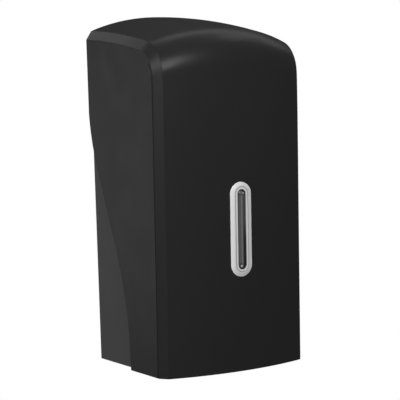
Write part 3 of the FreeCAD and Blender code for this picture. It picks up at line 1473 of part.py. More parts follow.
def make_spindle_spring(name, height):
    """A compression spring with a close turn at each end."""
    wire = spring_wire.value
    start = bore_floor.value + wire / 2 + fit_play.value
    end = stem_start.value - wire / 2 - fit_play.value
    turns = spring_turns.value
    close = wire + close_gap.value
    open_pitch = (end - start - 2 * close) / (turns - 2)

    def rise_at(done):
        if done < 1:
            return start + close * done
        if done > turns - 1:
            return end - close * (turns - done)
        return start + close + open_pitch * (done - 1)

    def slope_at(done):
        if done < 0.01 or done > turns - 0.01:
            return 0.0
        at_joint = abs(done - 1) < 0.01 or abs(done - turns + 1) < 0.01
        if at_joint:
            return (close + open_pitch) / 2
        return close if done < 1 or done > turns - 1 else open_pitch

    radius = spring_coil.value / 2
    edges, _ = coil_edges(radius, turns, rise_at, slope_at, 0.0)
    place = Vector(0, -axis_reach.value, (height - wall_screw_height).value)
    return wire_along(f"{name}_spindle_spring", edges, wire, place, math.pi * radius)


def front_leg_way():
    """Direction of the spring's front leg, which passes under the lug on the catch arm."""
    run, rise = arm_way
    offset = (torsion_coil + torsion_wire + lug_diameter) / 2
    sine = offset / lug_place
    cosine = root(1 - sine * sine)
    return run * cosine - rise * sine, rise * cosine + run * sine


lug_point = beside_arm(lug_place, as_size(0.0))
leg_x = arm_inner - torsion_gap - torsion_wire / 2
lug_length = torsion_wire + torsion_gap * 2


def make_lever_spring():
    """A torsion spring: one leg on the back plate, the other under the lug."""
    wire = torsion_wire.value
    radius = torsion_coil.value / 2
    drop = shaft_reach.value - back_thickness.value - wire / 2
    leg = rear_leg.value
    # The rear leg leaves the coil at a tangent and ends on the plate
    rear_angle = math.asin(drop / math.hypot(leg, radius)) - math.atan2(radius, leg)
    run, rise = front_leg_way()
    front_way = Vector(0, run.value, rise.value)
    front_angle = math.atan2(-front_way.y, front_way.z)
    turns = torsion_turns.value + (front_angle - rear_angle) / (2 * math.pi)
    pitch = torsion_pitch.value
    first_x = leg_x.value - pitch * turns

    def rise_at(done):
        return first_x + pitch * done

    def slope_at(done):
        is_end = done < 0.01 or done > turns - 0.01
        return 0.0 if is_end else pitch

    edges, nodes = coil_edges(radius, turns, rise_at, slope_at, rear_angle)
    first_point, first_way = nodes[0]
    last_point, last_way = nodes[-1]
    rear_end = first_point - first_way * leg
    front_end = last_point + last_way * front_leg.value
    edges.insert(0, Part.LineSegment(rear_end, first_point).toShape())
    edges.append(Part.LineSegment(last_point, front_end).toShape())
    place = Vector(0, -shaft_reach.value, (shaft_height - wall_screw_height).value)
    return wire_along("lever_spring", edges, wire, place, math.pi * radius)


make_cover()
make_bezel()
make_lens()
make_window_cap()
make_lock_body()
make_lock_nut()
make_lock_barrel()
make_cam()
make_cam_screw()
make_housing()
make_keeper()
for name, side in BOTH_SIDES:
    make_rail(name, side)
    make_hinge_pin(name, side)
make_housing_screws()
make_shaft()
make_clips()
make_left_arm()
make_right_lever()
make_grip()
make_lever_spring()
for name, height in (("lower", spindle_height), ("reserve", reserve_height)):
    make_sleeve(name, height)
    make_plunger(name, height)
    make_spindle_spring(name, height)
doc.recompute()

for item in doc.Objects:
    if "Invalid" in item.State or "Error" in item.State:
        raise ValueError(f"{item.Name} is {item.State}")

os.makedirs("parts", exist_ok=True)
for part in parts:
    if part.Shape.isNull() or not part.Shape.isValid():
        raise ValueError(f"{part.Label} has no valid shape")
    part.Shape.exportStep(f"parts/{part.Label}.step")
    print(part.Label, len(part.Shape.Solids), round(part.Shape.Volume))
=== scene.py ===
import math

import bmesh
import bpy
from mathutils import Matrix, Vector


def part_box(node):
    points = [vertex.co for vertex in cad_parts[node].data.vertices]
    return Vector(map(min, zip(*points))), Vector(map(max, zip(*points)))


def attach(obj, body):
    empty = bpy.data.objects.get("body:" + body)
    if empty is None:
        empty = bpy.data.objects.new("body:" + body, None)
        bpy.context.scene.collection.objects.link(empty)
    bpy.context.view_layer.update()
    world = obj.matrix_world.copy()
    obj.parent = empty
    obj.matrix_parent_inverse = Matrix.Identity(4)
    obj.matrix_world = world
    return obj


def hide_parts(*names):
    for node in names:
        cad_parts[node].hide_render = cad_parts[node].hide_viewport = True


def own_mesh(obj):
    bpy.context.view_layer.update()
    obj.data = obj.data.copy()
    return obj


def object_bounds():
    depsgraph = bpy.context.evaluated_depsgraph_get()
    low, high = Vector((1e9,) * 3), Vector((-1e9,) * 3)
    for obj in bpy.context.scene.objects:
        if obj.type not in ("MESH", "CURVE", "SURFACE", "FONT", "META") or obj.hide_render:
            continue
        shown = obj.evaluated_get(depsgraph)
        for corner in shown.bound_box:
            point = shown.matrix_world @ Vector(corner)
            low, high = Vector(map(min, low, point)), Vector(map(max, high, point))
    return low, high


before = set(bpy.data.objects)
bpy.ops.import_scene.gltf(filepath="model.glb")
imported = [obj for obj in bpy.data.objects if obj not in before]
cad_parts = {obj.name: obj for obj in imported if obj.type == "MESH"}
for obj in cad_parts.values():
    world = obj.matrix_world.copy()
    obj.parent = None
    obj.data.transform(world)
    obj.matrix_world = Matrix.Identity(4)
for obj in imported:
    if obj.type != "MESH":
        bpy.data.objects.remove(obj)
cad_box = [list(corner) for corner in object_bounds()]

# Looks of the toilet paper dispenser: finishes, fine pieces, camera, lamps, world and floor.
# Lengths are in metres.
MM = 0.001
WHITE = (1.0, 1.0, 1.0, 1.0)

# Sockets of the Mix node that carry colours. Its sockets for numbers have the same names.
MIX_FIRST_COLOUR = 6
MIX_SECOND_COLOUR = 7
MIX_COLOUR = 2

# Rays with which the Bevel node rounds an edge
EDGE_SAMPLES = 6


class Number:
    """A socket that carries a number. Arithmetic on it adds Math nodes."""

    def __init__(self, tree, socket):
        self.tree = tree
        self.socket = socket

    def combine(self, operation, first, second=0.0):
        node = self.tree.node("ShaderNodeMath", {"operation": operation}, {0: first, 1: second})
        return Number(self.tree, node.outputs[0])

    def __add__(self, other):
        return self.combine("ADD", self, other)

    def __sub__(self, other):
        return self.combine("SUBTRACT", self, other)

    def __rsub__(self, other):
        return self.combine("SUBTRACT", other, self)

    def __mul__(self, other):
        return self.combine("MULTIPLY", self, other)

    def __truediv__(self, other):
        return self.combine("DIVIDE", self, other)

    def __rtruediv__(self, other):
        return self.combine("DIVIDE", other, self)

    def __pow__(self, other):
        return self.combine("POWER", self, other)

    def __rpow__(self, other):
        return self.combine("POWER", other, self)

    def __abs__(self):
        return self.combine("ABSOLUTE", self)

    __radd__ = __add__
    __rmul__ = __mul__

    def at_least(self, floor):
        return self.combine("MAXIMUM", self, floor)

    def at_most(self, ceiling):
        return self.combine("MINIMUM", self, ceiling)

    def between(self, start, end):
        """What runs from start to end while this number runs from 0 to 1."""
        return self * (end - start) + start

    def band(self, middle, reach):
        """1 at the middle value, falling to 0 at the reach on either side."""
        return (1 - abs(self - middle) / reach).at_least(0.0)

    def flat_band(self, middle, reach, steepness):
        """A band that falls more steeply at its ends and stays at 1 between them."""
        return (self.band(middle, reach) * steepness).at_most(1.0)


def length_of(first, second):
    """The length of a line from its extents along two axes."""
    return (first * first + second * second) ** 0.5


class NodeTree:
    """A node tree, and the one method that adds a node to it."""

    def __init__(self, tree):
        self.tree = tree

    def node(self, kind, settings=None, sockets=None):
        node = self.tree.nodes.new(kind)
        for name, value in (settings or {}).items():
            if name == "stops":
                self.set_stops(node, value)
            else:
                setattr(node, name, value)
        for name, value in (sockets or {}).items():
            self.feed(node.inputs[name], value)
        return node

    def set_stops(self, node, stops):
        """Gives a ramp its stops, each a position and a grey level."""
        elements = node.color_ramp.elements
        while len(elements) < len(stops):
            elements.new(0.5)  # its position follows below
        for element, (position, level) in zip(elements, stops):
            element.position = position
            element.color = (*grey(level), 1.0)

    def feed(self, socket, value):
        if isinstance(value, Number):
            value = value.socket
        if isinstance(value, bpy.types.NodeSocket):
            self.tree.links.new(value, socket)
        else:
            socket.default_value = value


def shade(colour, factor):
    return tuple(part * factor for part in colour)


def grey(level):
    return (level, level, level)


class Finish(NodeTree):
    """A material on one Principled shader."""

    def __init__(self, name, **constants):
        self.material = bpy.data.materials.new(name)
        self.material.use_nodes = True
        super().__init__(self.material.node_tree)
        self.shader = self.tree.nodes["Principled BSDF"]
        for socket, value in constants.items():
            self.shader.inputs[socket.replace("_", " ")].default_value = value
        self.place = self.node("ShaderNodeTexCoord").outputs["Object"]

    def noise(self, scale, detail=2.0, stretch=None):
        """Noise from 0 to 1 on Object coordinates. Scale counts features per metre."""
        place = self.place
        if stretch is not None:
            mapping = self.node("ShaderNodeMapping", None, {"Vector": place, "Scale": stretch})
            place = mapping.outputs[0]
        node = self.node("ShaderNodeTexNoise", None,
                         {"Vector": place, "Scale": scale, "Detail": detail})
        return Number(self, node.outputs[0])

    def cells(self, scale):
        """Round cells, from 0 at the middle of each. Scale counts cells per metre."""
        node = self.node("ShaderNodeTexVoronoi", None, {"Vector": self.place, "Scale": scale})
        return Number(self, node.outputs["Distance"])

    def from_point(self, point):
        """How far to the right of, behind and above a point, each as a number."""
        apart = self.node("ShaderNodeVectorMath", {"operation": "SUBTRACT"},
                          {0: self.place, 1: point})
        parts = self.node("ShaderNodeSeparateXYZ", None, {0: apart.outputs[0]})
        return [Number(self, output) for output in parts.outputs]

    def blend(self, mask, first, second):
        """A colour between first, where the mask is 0, and second, where it is 1."""
        sockets = {0: mask}
        for place, colour in ((MIX_FIRST_COLOUR, first), (MIX_SECOND_COLOUR, second)):
            sockets[place] = (*colour, 1.0) if isinstance(colour, tuple) else colour
        return self.node("ShaderNodeMix", {"data_type": "RGBA"}, sockets).outputs[MIX_COLOUR]

    def mottle(self, mask, colour, darkest, lightest):
        """A colour from its darkest share, where the mask is 0, to its lightest."""
        return self.blend(mask, shade(colour, darkest), shade(colour, lightest))

    def stripes(self, place, stops):
        """Greys along a number from 0 to 1."""
        return self.node("ShaderNodeValToRGB", {"stops": stops}, {0: place}).outputs[0]

    def set(self, socket, value):
        self.feed(self.shader.inputs[socket], value)

    def bump(self, height, depth, edge=None):
        """Bump from a height of 0 to 1 that stands for so many metres, on softened edges."""
        sockets = {"Height": height, "Distance": depth}
        if edge is not None:
            sockets["Normal"] = self.node("ShaderNodeBevel", {"samples": EDGE_SAMPLES},
                                          {"Radius": edge}).outputs[0]
        node = self.node("ShaderNodeBump", None, sockets)
        self.set("Normal", node.outputs[0])

    def gloss(self, amount, roughness):
        """A skin over the colour that reflects the same small share from every side."""
        skin = self.node("ShaderNodeBsdfAnisotropic", {"distribution": "GGX"},
                         {"Color": WHITE, "Roughness": roughness})
        normal = self.shader.inputs["Normal"]
        if normal.is_linked:
            self.feed(skin.inputs["Normal"], normal.links[0].from_socket)
        self.overlay(amount, skin.outputs[0])

    def overlay(self, amount, second_shader):
        """A second shader mixed over the first as the material's surface."""
        mix = self.node("ShaderNodeMixShader", None,
                        {0: amount, 1: self.shader.outputs[0], 2: second_shader})
        self.feed(self.tree.nodes["Material Output"].inputs["Surface"], mix.outputs[0])


# Colours are linear, as Blender takes them
COVER_GREY = (0.0127, 0.0127, 0.0129)
CASING_GREY = (0.0380, 0.0380, 0.0384)
INNER_GREY = (0.030, 0.0305, 0.032)
SPINDLE_GREY = (0.36, 0.365, 0.37)
WINDOW_GREY = (0.60, 0.60, 0.60)
ZINC = (0.44, 0.445, 0.46)
STEEL = (0.38, 0.385, 0.39)
GRIP_GREY = (0.020, 0.020, 0.021)


def moulded_plastic(name, colour, roughness, grain_depth, gloss, edge=None):
    """Satin plastic from a spark-eroded mould: fine grain, faint flow marks, soft rub marks."""
    finish = Finish(name, Specular_IOR_Level=0.0)
    flow = finish.noise(scale=9.0, detail=3.0, stretch=(1.0, 1.0, 0.35))
    rubbed = finish.noise(scale=38.0, detail=4.0) ** 3.0
    grain = finish.noise(scale=2600.0, detail=1.0)
    pores = finish.cells(scale=1500.0)
    finish.set("Base Color", finish.mottle(flow, colour, darkest=0.88, lightest=1.12))
    finish.set("Roughness", 0.6)
    finish.bump(grain * 0.6 + pores * 0.4, grain_depth, edge)
    polish = rubbed.between(0.03, -0.22)
    finish.gloss(gloss, roughness + polish + flow.between(-0.025, 0.025))
    return finish.material


def middle_of(name):
    low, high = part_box(name)
    return (low + high) / 2


WINDOW_MIDDLE = middle_of("window_lens")
SLOT_LENGTH = 70.0 * MM
SLOT_WIDTH = 8.0 * MM
LIP_WIDTH = 2.1 * MM
LIP_GROOVE_WIDTH = 0.7 * MM
BEZEL_WIDTH = 6.6 * MM
WINDOW_SHADE_TURN = 16.0 * MM
# How dark the painted shade in the groove is, as a share of the window's grey
GROOVE_SHADE = 0.5
# How pale the painted highlight on the outer rim is, as a share of the window's grey
PAINTED_RIM_HIGHLIGHT = 1.16


def from_slot_line(finish):
    """Distance, seen from the front, from the middle line of the window's round-ended slot."""
    right, _, above = finish.from_point(WINDOW_MIDDLE)
    past_end = (abs(above) - (SLOT_LENGTH - SLOT_WIDTH) / 2).at_least(0.0)
    return length_of(right, past_end)


def upper_half(finish):
    """0 in the lower half of the window, and 1 in its upper half, through a soft turn."""
    _, _, above = finish.from_point(WINDOW_MIDDLE)
    return (above / WINDOW_SHADE_TURN + 0.5).at_least(0.0).at_most(1.0)


def window_plastic():
    """Pale satin plastic, polished, with painted shade in the groove, a painted highlight on the
    outer rim, and painted shade on the slot's inner wall, lighter in its upper half.
    """
    finish = Finish("window_plastic", Specular_IOR_Level=0.0)
    swirl = finish.noise(scale=120.0, detail=3.0, stretch=(1.0, 1.0, 0.3))
    out = from_slot_line(finish)
    slot_edge = SLOT_WIDTH / 2
    wall = out.flat_band(slot_edge, reach=0.5 * MM, steepness=2.0)
    groove = out.band(slot_edge + LIP_WIDTH + LIP_GROOVE_WIDTH / 2, reach=0.8 * MM)
    rim = out.band(slot_edge + BEZEL_WIDTH, reach=1.6 * MM)
    body = finish.mottle(swirl, WINDOW_GREY, darkest=0.95, lightest=1.05)
    # Painted highlight: the outer rim is made paler in the colour
    rim_highlighted = finish.blend(rim, body, shade(WINDOW_GREY, PAINTED_RIM_HIGHLIGHT))
    # Painted shade: the groove is darkened in the colour
    groove_shaded = finish.blend(groove, rim_highlighted, shade(WINDOW_GREY, GROOVE_SHADE))
    # Painted shade on the slot's inner wall, lighter in its upper half as painted light
    painted_wall_shade_and_light = finish.mottle(upper_half(finish), WINDOW_GREY, darkest=0.10, lightest=0.25)
    finish.set("Base Color", finish.blend(wall, groove_shaded, painted_wall_shade_and_light))
    finish.set("Roughness", swirl.between(0.4, 0.5))
    finish.bump(finish.noise(scale=260.0), depth=0.02 * MM)
    finish.gloss(amount=0.11, roughness=swirl.between(0.10, 0.18))
    return finish.material


# Painted reflections: grey levels of light and dark streaks across the lens, from its left edge to
# its right edge
PAINTED_LENS_STREAKS = [(0.0, 0.040), (0.18, 0.080), (0.38, 0.062), (0.54, 0.155),
                (0.66, 0.035), (0.76, 0.015), (0.88, 0.030), (1.0, 0.020)]
PAINTED_LENS_UPPER_STREAKS = [(0.0, 0.040), (0.18, 0.075), (0.38, 0.070), (0.54, 0.155),
                      (0.66, 0.075), (0.76, 0.040), (0.88, 0.200), (1.0, 0.120)]

# Painted highlights: bright points at the lens's ends, to the right of and above the window's
# middle
PAINTED_GLINTS = [(2.3 * MM, 31.6 * MM), (-0.6 * MM, -32.4 * MM)]
GLINT_REACH = 1.1 * MM
PAINTED_GLINT_LEVEL = 0.62

# Painted shade: a darker line across the lens near each end, measured from the window's middle
END_LINE_PLACE = 30.6 * MM
END_LINE_REACH = 1.6 * MM
PAINTED_END_SHADE_LEVEL = 0.02
END_LINE_STRENGTH = 0.7

# How far the streaks waver to either side, as a share of the lens's width
STREAK_WAVER = 0.06


def painted_glint(finish, across, up):
    """Mask of a painted highlight: 1 at a small point on the lens, falling to 0 around it."""
    right, _, above = finish.from_point(WINDOW_MIDDLE + Vector((across, 0.0, up)))
    return length_of(right, above).flat_band(0.0, GLINT_REACH, steepness=1.8)


def lens_plastic():
    """Smoked clear bar whose colour has painted light and dark streaks for what it reflects and
    bends, painted shade near each end and painted highlights.
    """
    finish = Finish("lens_plastic", Specular_IOR_Level=0.0, IOR=1.49, Transmission_Weight=0.12)
    right, _, above = finish.from_point(WINDOW_MIDDLE)
    wave = finish.noise(scale=160.0, stretch=(1.0, 1.0, 0.12))
    across = right / SLOT_WIDTH + 0.5 + wave.between(-STREAK_WAVER, STREAK_WAVER)
    # Painted reflections: streaks of light and shade across the lens, with their own set in the
    # upper half
    colour = finish.blend(upper_half(finish), finish.stripes(across, PAINTED_LENS_STREAKS),
                          finish.stripes(across, PAINTED_LENS_UPPER_STREAKS))
    # Painted shade across the lens near each end
    painted_end_shade = abs(above).band(END_LINE_PLACE, END_LINE_REACH)
    colour = finish.blend(painted_end_shade * END_LINE_STRENGTH, colour, grey(PAINTED_END_SHADE_LEVEL))
    # Painted highlights at the lens's ends
    for place in PAINTED_GLINTS:
        colour = finish.blend(painted_glint(finish, *place), colour, grey(PAINTED_GLINT_LEVEL))
    finish.set("Base Color", colour)
    finish.set("Roughness", wave.between(0.1, 0.2))
    finish.bump(wave, depth=0.01 * MM)
    finish.gloss(amount=0.03, roughness=0.06)
    return finish.material


def plated_steel(name, colour, roughness, stretch):
    """Zinc-plated steel: drawn lines, dull patches and fine pits."""
    finish = Finish(name, Metallic=1.0)
    lines = finish.noise(scale=900.0, detail=3.0, stretch=stretch)
    patches = finish.noise(scale=160.0, detail=4.0)
    pits = finish.cells(scale=1400.0)
    finish.set("Base Color", finish.mottle(patches, colour, darkest=0.85, lightest=1.1))
    finish.set("Roughness", roughness + lines * 0.12 + patches * 0.1)
    finish.bump(lines * 0.7 + pits * 0.3, depth=0.01 * MM)
    return finish.material


LOCK_AXIS = middle_of("lock_barrel")
KEY_SCRATCH_REACH = 5.0 * MM


def turned_zinc():
    """Plated zinc turned on a lathe: fine rings about the lock's axis, and dull key scratches."""
    finish = Finish("turned_zinc", Metallic=1.0)
    _, behind, above = finish.from_point(LOCK_AXIS)
    radius = length_of(behind, above)
    rings = finish.node("ShaderNodeTexNoise", {"noise_dimensions": "1D"},
                        {"W": radius, "Scale": 5200.0, "Detail": 2.0})
    rings = Number(finish, rings.outputs[0])
    scratches = finish.noise(scale=700.0, detail=3.0, stretch=(1.0, 0.12, 1.0)) ** 4.0
    key_scratches = scratches * radius.band(0.0, KEY_SCRATCH_REACH)
    finish.set("Base Color", finish.mottle(rings, ZINC, darkest=0.86, lightest=1.1))
    finish.set("Roughness", rings.between(0.12, 0.24) + key_scratches * 0.6)
    finish.bump(rings - key_scratches, depth=0.008 * MM)
    return finish.material


def soft_rubber():
    """Matt rubber with a fine skin and paler rubbed patches."""
    finish = Finish("soft_rubber", IOR=1.5, Specular_IOR_Level=0.3)
    skin = finish.cells(scale=1800.0)
    worn = finish.noise(scale=220.0, detail=3.0)
    finish.set("Base Color", finish.mottle(worn ** 2.0, GRIP_GREY, darkest=1.0, lightest=1.8))
    finish.set("Roughness", worn.between(0.62, 0.77))
    finish.bump(skin, depth=0.04 * MM)
    return finish.material


cover_plastic = moulded_plastic("cover_plastic", COVER_GREY, roughness=0.34,
                                grain_depth=0.012 * MM, gloss=0.007, edge=0.9 * MM)
casing_plastic = moulded_plastic("casing_plastic", CASING_GREY, roughness=0.48,
                                 grain_depth=0.016 * MM, gloss=0.006, edge=0.3 * MM)
inner_plastic = moulded_plastic("inner_plastic", INNER_GREY, roughness=0.45,
                                grain_depth=0.016 * MM, gloss=0.015, edge=0.25 * MM)
spindle_plastic = moulded_plastic("spindle_plastic", SPINDLE_GREY, roughness=0.36,
                                  grain_depth=0.012 * MM, gloss=0.03)
pale_window = window_plastic()
smoked_clear = lens_plastic()
turned_steel = plated_steel("turned_steel", STEEL, roughness=0.26, stretch=(1.0, 0.05, 0.05))
sheet_steel = plated_steel("sheet_steel", STEEL, roughness=0.30, stretch=(0.05, 1.0, 1.0))
spring_steel = plated_steel("spring_steel", shade(STEEL, 0.85), roughness=0.22,
                            stretch=(1.0, 1.0, 1.0))
lock_zinc = turned_zinc()
grip_rubber = soft_rubber()

FINISHES = {
    cover_plastic: ["front_cover"],
    casing_plastic: ["back_housing"],
    inner_plastic: ["window_cap", "left_roll_rail", "right_roll_rail", "left_catch_arm",
                    "right_catch_lever"],
    spindle_plastic: ["lower_spindle_sleeve", "lower_spindle_plunger",
                      "reserve_spindle_sleeve", "reserve_spindle_plunger"],
    pale_window: ["window_bezel"],
    smoked_clear: ["window_lens"],
    turned_steel: ["cross_shaft", "left_hinge_pin", "right_hinge_pin", "cam_screw",
                   "housing_screws"],
    sheet_steel: ["latch_keeper", "lock_cam", "lock_nut", "shaft_clips"],
    spring_steel: ["lever_spring", "lower_spindle_spring", "reserve_spindle_spring"],
    lock_zinc: ["lock_body", "lock_barrel"],
    grip_rubber: ["lever_grip"],
}
for finish, nodes in FINISHES.items():
    for name in nodes:
        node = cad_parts[name]
        node.data.materials.clear()
        node.data.materials.append(finish)


# How finely the repeated pieces are divided
BAR_SIDES = 12
WALL_RIB_SIDES = 12
WALL_RIB_POINTS = 49
MARK_SIDES = 24
MARK_WIRE_SIDES = 6

# How far a point may be from the wall that it is moved to
CAST_REACH = 100.0 * MM


class Pattern(NodeTree):
    """A Geometry Nodes tree that makes repeated pieces from named sizes."""

    def __init__(self, name):
        super().__init__(bpy.data.node_groups.new(name, "GeometryNodeTree"))
        self.tree.interface.new_socket("Pieces", in_out="OUTPUT",
                                       socket_type="NodeSocketGeometry")
        self.inlet = self.node("NodeGroupInput")
        self.sizes = {}

    def size(self, name, kind="Float"):
        """A named input of the tree."""
        item = self.tree.interface.new_socket(name, in_out="INPUT",
                                              socket_type="NodeSocket" + kind)
        self.sizes[name] = item.identifier
        socket = self.inlet.outputs[name]
        return Number(self, socket) if kind in ("Float", "Int") else socket

    def index(self):
        return Number(self, self.node("GeometryNodeInputIndex").outputs[0])

    def vector(self, x=0.0, y=0.0, z=0.0):
        return self.node("ShaderNodeCombineXYZ", None, {0: x, 1: y, 2: z}).outputs[0]

    def moved(self, pieces, **sockets):
        return self.node("GeometryNodeTransform", None,
                         {"Geometry": pieces, **sockets}).outputs[0]

    def circle(self, sides, radius):
        return self.node("GeometryNodeCurvePrimitiveCircle", None,
                         {"Resolution": sides, "Radius": radius}).outputs[0]

    def real(self, pieces):
        """Instances turned into geometry of their own."""
        return self.node("GeometryNodeRealizeInstances", None, {"Geometry": pieces}).outputs[0]

    def bar(self):
        """A round-backed bar along X, to be sunk half into what carries it."""
        length, width, height = [self.size(name) for name in ("Length", "Width", "Height")]
        unit_rod = self.node("GeometryNodeMeshCylinder", None,
                             {"Vertices": BAR_SIDES, "Radius": 0.5, "Depth": 1.0})
        return self.moved(unit_rod.outputs["Mesh"], Rotation=(0.0, math.pi / 2, 0.0),
                          Scale=self.vector(height * 2, width, length))

    def row(self, piece, count, start, step, **sockets):
        """Copies of a piece at even steps."""
        shift = self.node("ShaderNodeVectorMath", {"operation": "SCALE"},
                          {0: step, "Scale": self.index()}).outputs[0]
        place = self.node("ShaderNodeVectorMath", {"operation": "ADD"}, {0: start, 1: shift})
        points = self.node("GeometryNodePoints", None,
                           {"Count": count, "Position": place.outputs[0]}).outputs[0]
        return self.node("GeometryNodeInstanceOnPoints", None,
                         {"Points": points, "Instance": piece, **sockets}).outputs[0]

    def wall(self):
        """The inputs that name a wall and the way to it."""
        return self.size("Wall", "Object"), self.size("Way", "Vector")

    def cast(self, pieces, wall, way):
        """Points moved along a way until they meet a wall, and the wall's slope there."""
        solid = self.node("GeometryNodeObjectInfo", None, {"Object": wall}).outputs["Geometry"]
        ray = self.node("GeometryNodeRaycast", None,
                        {"Target Geometry": solid, "Ray Direction": way,
                         "Ray Length": CAST_REACH}).outputs
        landed = self.node("GeometryNodeSetPosition", None,
                           {"Geometry": self.real(pieces), "Selection": ray["Is Hit"],
                            "Position": ray["Hit Position"]}).outputs[0]
        return landed, ray["Hit Normal"]

    def close(self, pieces):
        """The pieces made real, smooth and in their finish, as the tree's result."""
        finish = self.size("Finish", "Material")
        smooth = self.node("GeometryNodeSetShadeSmooth", None,
                           {"Geometry": self.real(pieces)}).outputs[0]
        dressed = self.node("GeometryNodeSetMaterial", None,
                            {"Geometry": smooth, "Material": finish}).outputs[0]
        self.node("NodeGroupOutput", None, {"Pieces": dressed})

    def make(self, name, body, **sizes):
        """One plain mesh from the tree, which rides on a body."""
        piece = bpy.data.objects.new(name, bpy.data.meshes.new(name))
        bpy.context.scene.collection.objects.link(piece)
        modifier = piece.modifiers.new("pattern", "NODES")
        modifier.node_group = self.tree
        for size, value in sizes.items():
            modifier[self.sizes[size]] = value
        solid = piece.evaluated_get(bpy.context.evaluated_depsgraph_get())
        made = bpy.data.meshes.new_from_object(solid)
        made.name = name
        piece.modifiers.clear()
        piece.data = made
        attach(piece, body)


def rib_ring_pattern():
    """Ribs along a roller that lies across, all the way round it."""
    pattern = Pattern("rib_ring")
    count = pattern.size("Count", "Int")
    middle = pattern.size("Middle", "Vector")
    radius = pattern.size("Radius")
    raised = pattern.moved(pattern.bar(), Translation=pattern.vector(z=radius))
    turn = pattern.vector(x=pattern.index() * math.tau / count)
    pattern.close(pattern.row(raised, count, start=middle, step=(0.0, 0.0, 0.0),
                              Rotation=turn))
    return pattern


def ridge_row_pattern():
    """Ridges side by side at even steps, each turned about X."""
    pattern = Pattern("ridge_row")
    count = pattern.size("Count", "Int")
    start = pattern.size("Start", "Vector")
    step = pattern.size("Step", "Vector")
    turn = pattern.size("Turn")
    turned_bar = pattern.moved(pattern.bar(), Rotation=pattern.vector(x=turn))
    pattern.close(pattern.row(turned_bar, count, start, step))
    return pattern


def wall_rib_pattern():
    """Half-round ribs across a wall, which follow its bow."""
    pattern = Pattern("wall_rib")
    wall, way = pattern.wall()
    count = pattern.size("Count", "Int")
    start = pattern.size("Start", "Vector")
    step = pattern.size("Step", "Vector")
    length = pattern.size("Length")
    radius = pattern.size("Radius")
    line = pattern.node("GeometryNodeMeshLine", None,
                        {"Count": WALL_RIB_POINTS,
                         "Start Location": pattern.vector(x=length * -0.5),
                         "Offset": pattern.vector(x=length / (WALL_RIB_POINTS - 1))}).outputs[0]
    landed, _ = pattern.cast(pattern.row(line, count, start, step), wall, way)
    path = pattern.node("GeometryNodeMeshToCurve", None, {"Mesh": landed}).outputs[0]
    profile = pattern.circle(WALL_RIB_SIDES, radius)
    rib = pattern.node("GeometryNodeCurveToMesh", None,
                       {"Curve": path, "Profile Curve": profile, "Fill Caps": True}).outputs[0]
    pattern.close(rib)
    return pattern


def ejector_ring_pattern():
    """Fine rings that the ejector pins of the mould leave on a wall, in a grid."""
    pattern = Pattern("ejector_ring")
    wall, way = pattern.wall()
    middle = pattern.size("Middle", "Vector")
    across = pattern.size("Across")
    up = pattern.size("Up")
    columns = pattern.size("Columns", "Int")
    rows = pattern.size("Rows", "Int")
    grid = pattern.node("GeometryNodeMeshGrid", None,
                        {"Size X": across, "Size Y": up, "Vertices X": columns,
                         "Vertices Y": rows}).outputs[0]
    upright = pattern.moved(grid, Rotation=(math.pi / 2, 0.0, 0.0), Translation=middle)
    landed, slope = pattern.cast(upright, wall, way)
    edge = pattern.circle(MARK_SIDES, pattern.size("Radius"))
    wire = pattern.circle(MARK_WIRE_SIDES, pattern.size("Height"))
    ring = pattern.node("GeometryNodeCurveToMesh", None,
                        {"Curve": edge, "Profile Curve": wire}).outputs[0]
    turn = pattern.node("FunctionNodeAlignRotationToVector", {"axis": "Z"},
                        {"Vector": slope}).outputs[0]
    rings = pattern.node("GeometryNodeInstanceOnPoints", None,
                         {"Points": landed, "Instance": ring, "Rotation": turn}).outputs[0]
    pattern.close(rings)
    return pattern


SPINDLE_RADIUS = 14.0 * MM
SPINDLE_RIB_COUNT = 10
SPINDLE_RIB_WIDTH = 2.4 * MM
SPINDLE_RIB_HEIGHT = 0.5 * MM

# Each half of a spindle, its body, and where its ribs start and end to the right of the middle
SPINDLE_HALVES = [("sleeve", "spindle", -47.5 * MM, 7.0 * MM),
                  ("collar", "plunger", 19.0 * MM, 47.5 * MM)]


def make_spindle_ribs():
    """Raised ribs that grip the roll's cardboard core, on both halves of each spindle."""
    pattern = rib_ring_pattern()
    for row in ("lower", "reserve"):
        axis = middle_of(f"{row}_spindle_sleeve")
        for half, body, start, end in SPINDLE_HALVES:
            middle = ((start + end) / 2, axis.y, axis.z)
            pattern.make(f"{row}_{half}_ribs", f"{row}_{body}", Count=SPINDLE_RIB_COUNT,
                         Middle=middle, Radius=SPINDLE_RADIUS, Length=end - start,
                         Width=SPINDLE_RIB_WIDTH, Height=SPINDLE_RIB_HEIGHT,
                         Finish=spindle_plastic)


# The finger grip: its lower end, the way it rises from there, and half its thickness
GRIP_END = Vector((61.9, -78.0, -145.0)) * MM
GRIP_WAY = Vector((0.0, 28.0, 56.0)).normalized()
GRIP_FACE = Vector((0.0, -GRIP_WAY.z, GRIP_WAY.y))
GRIP_HALF = 3.8 * MM
GRIP_RIDGE_COUNT = 6
GRIP_RIDGE_LENGTH = 9.6 * MM
GRIP_RIDGE_WIDTH = 1.3 * MM
GRIP_RIDGE_HEIGHT = 0.5 * MM
GRIP_RIDGE_START = 2.0 * MM
GRIP_RIDGE_STEP = 2.4 * MM


def make_grip_ridges():
    """Ridges across both faces of the soft finger grip."""
    pattern = ridge_row_pattern()
    turn = math.atan2(GRIP_WAY.z, GRIP_WAY.y)
    for label, side in (("front", 1), ("rear", -1)):
        start = GRIP_END + GRIP_WAY * GRIP_RIDGE_START + GRIP_FACE * GRIP_HALF * side
        pattern.make(f"grip_{label}_ridges", "drop_lever", Count=GRIP_RIDGE_COUNT, Start=start,
                     Step=GRIP_WAY * GRIP_RIDGE_STEP, Turn=turn, Length=GRIP_RIDGE_LENGTH,
                     Width=GRIP_RIDGE_WIDTH, Height=GRIP_RIDGE_HEIGHT, Finish=grip_rubber)


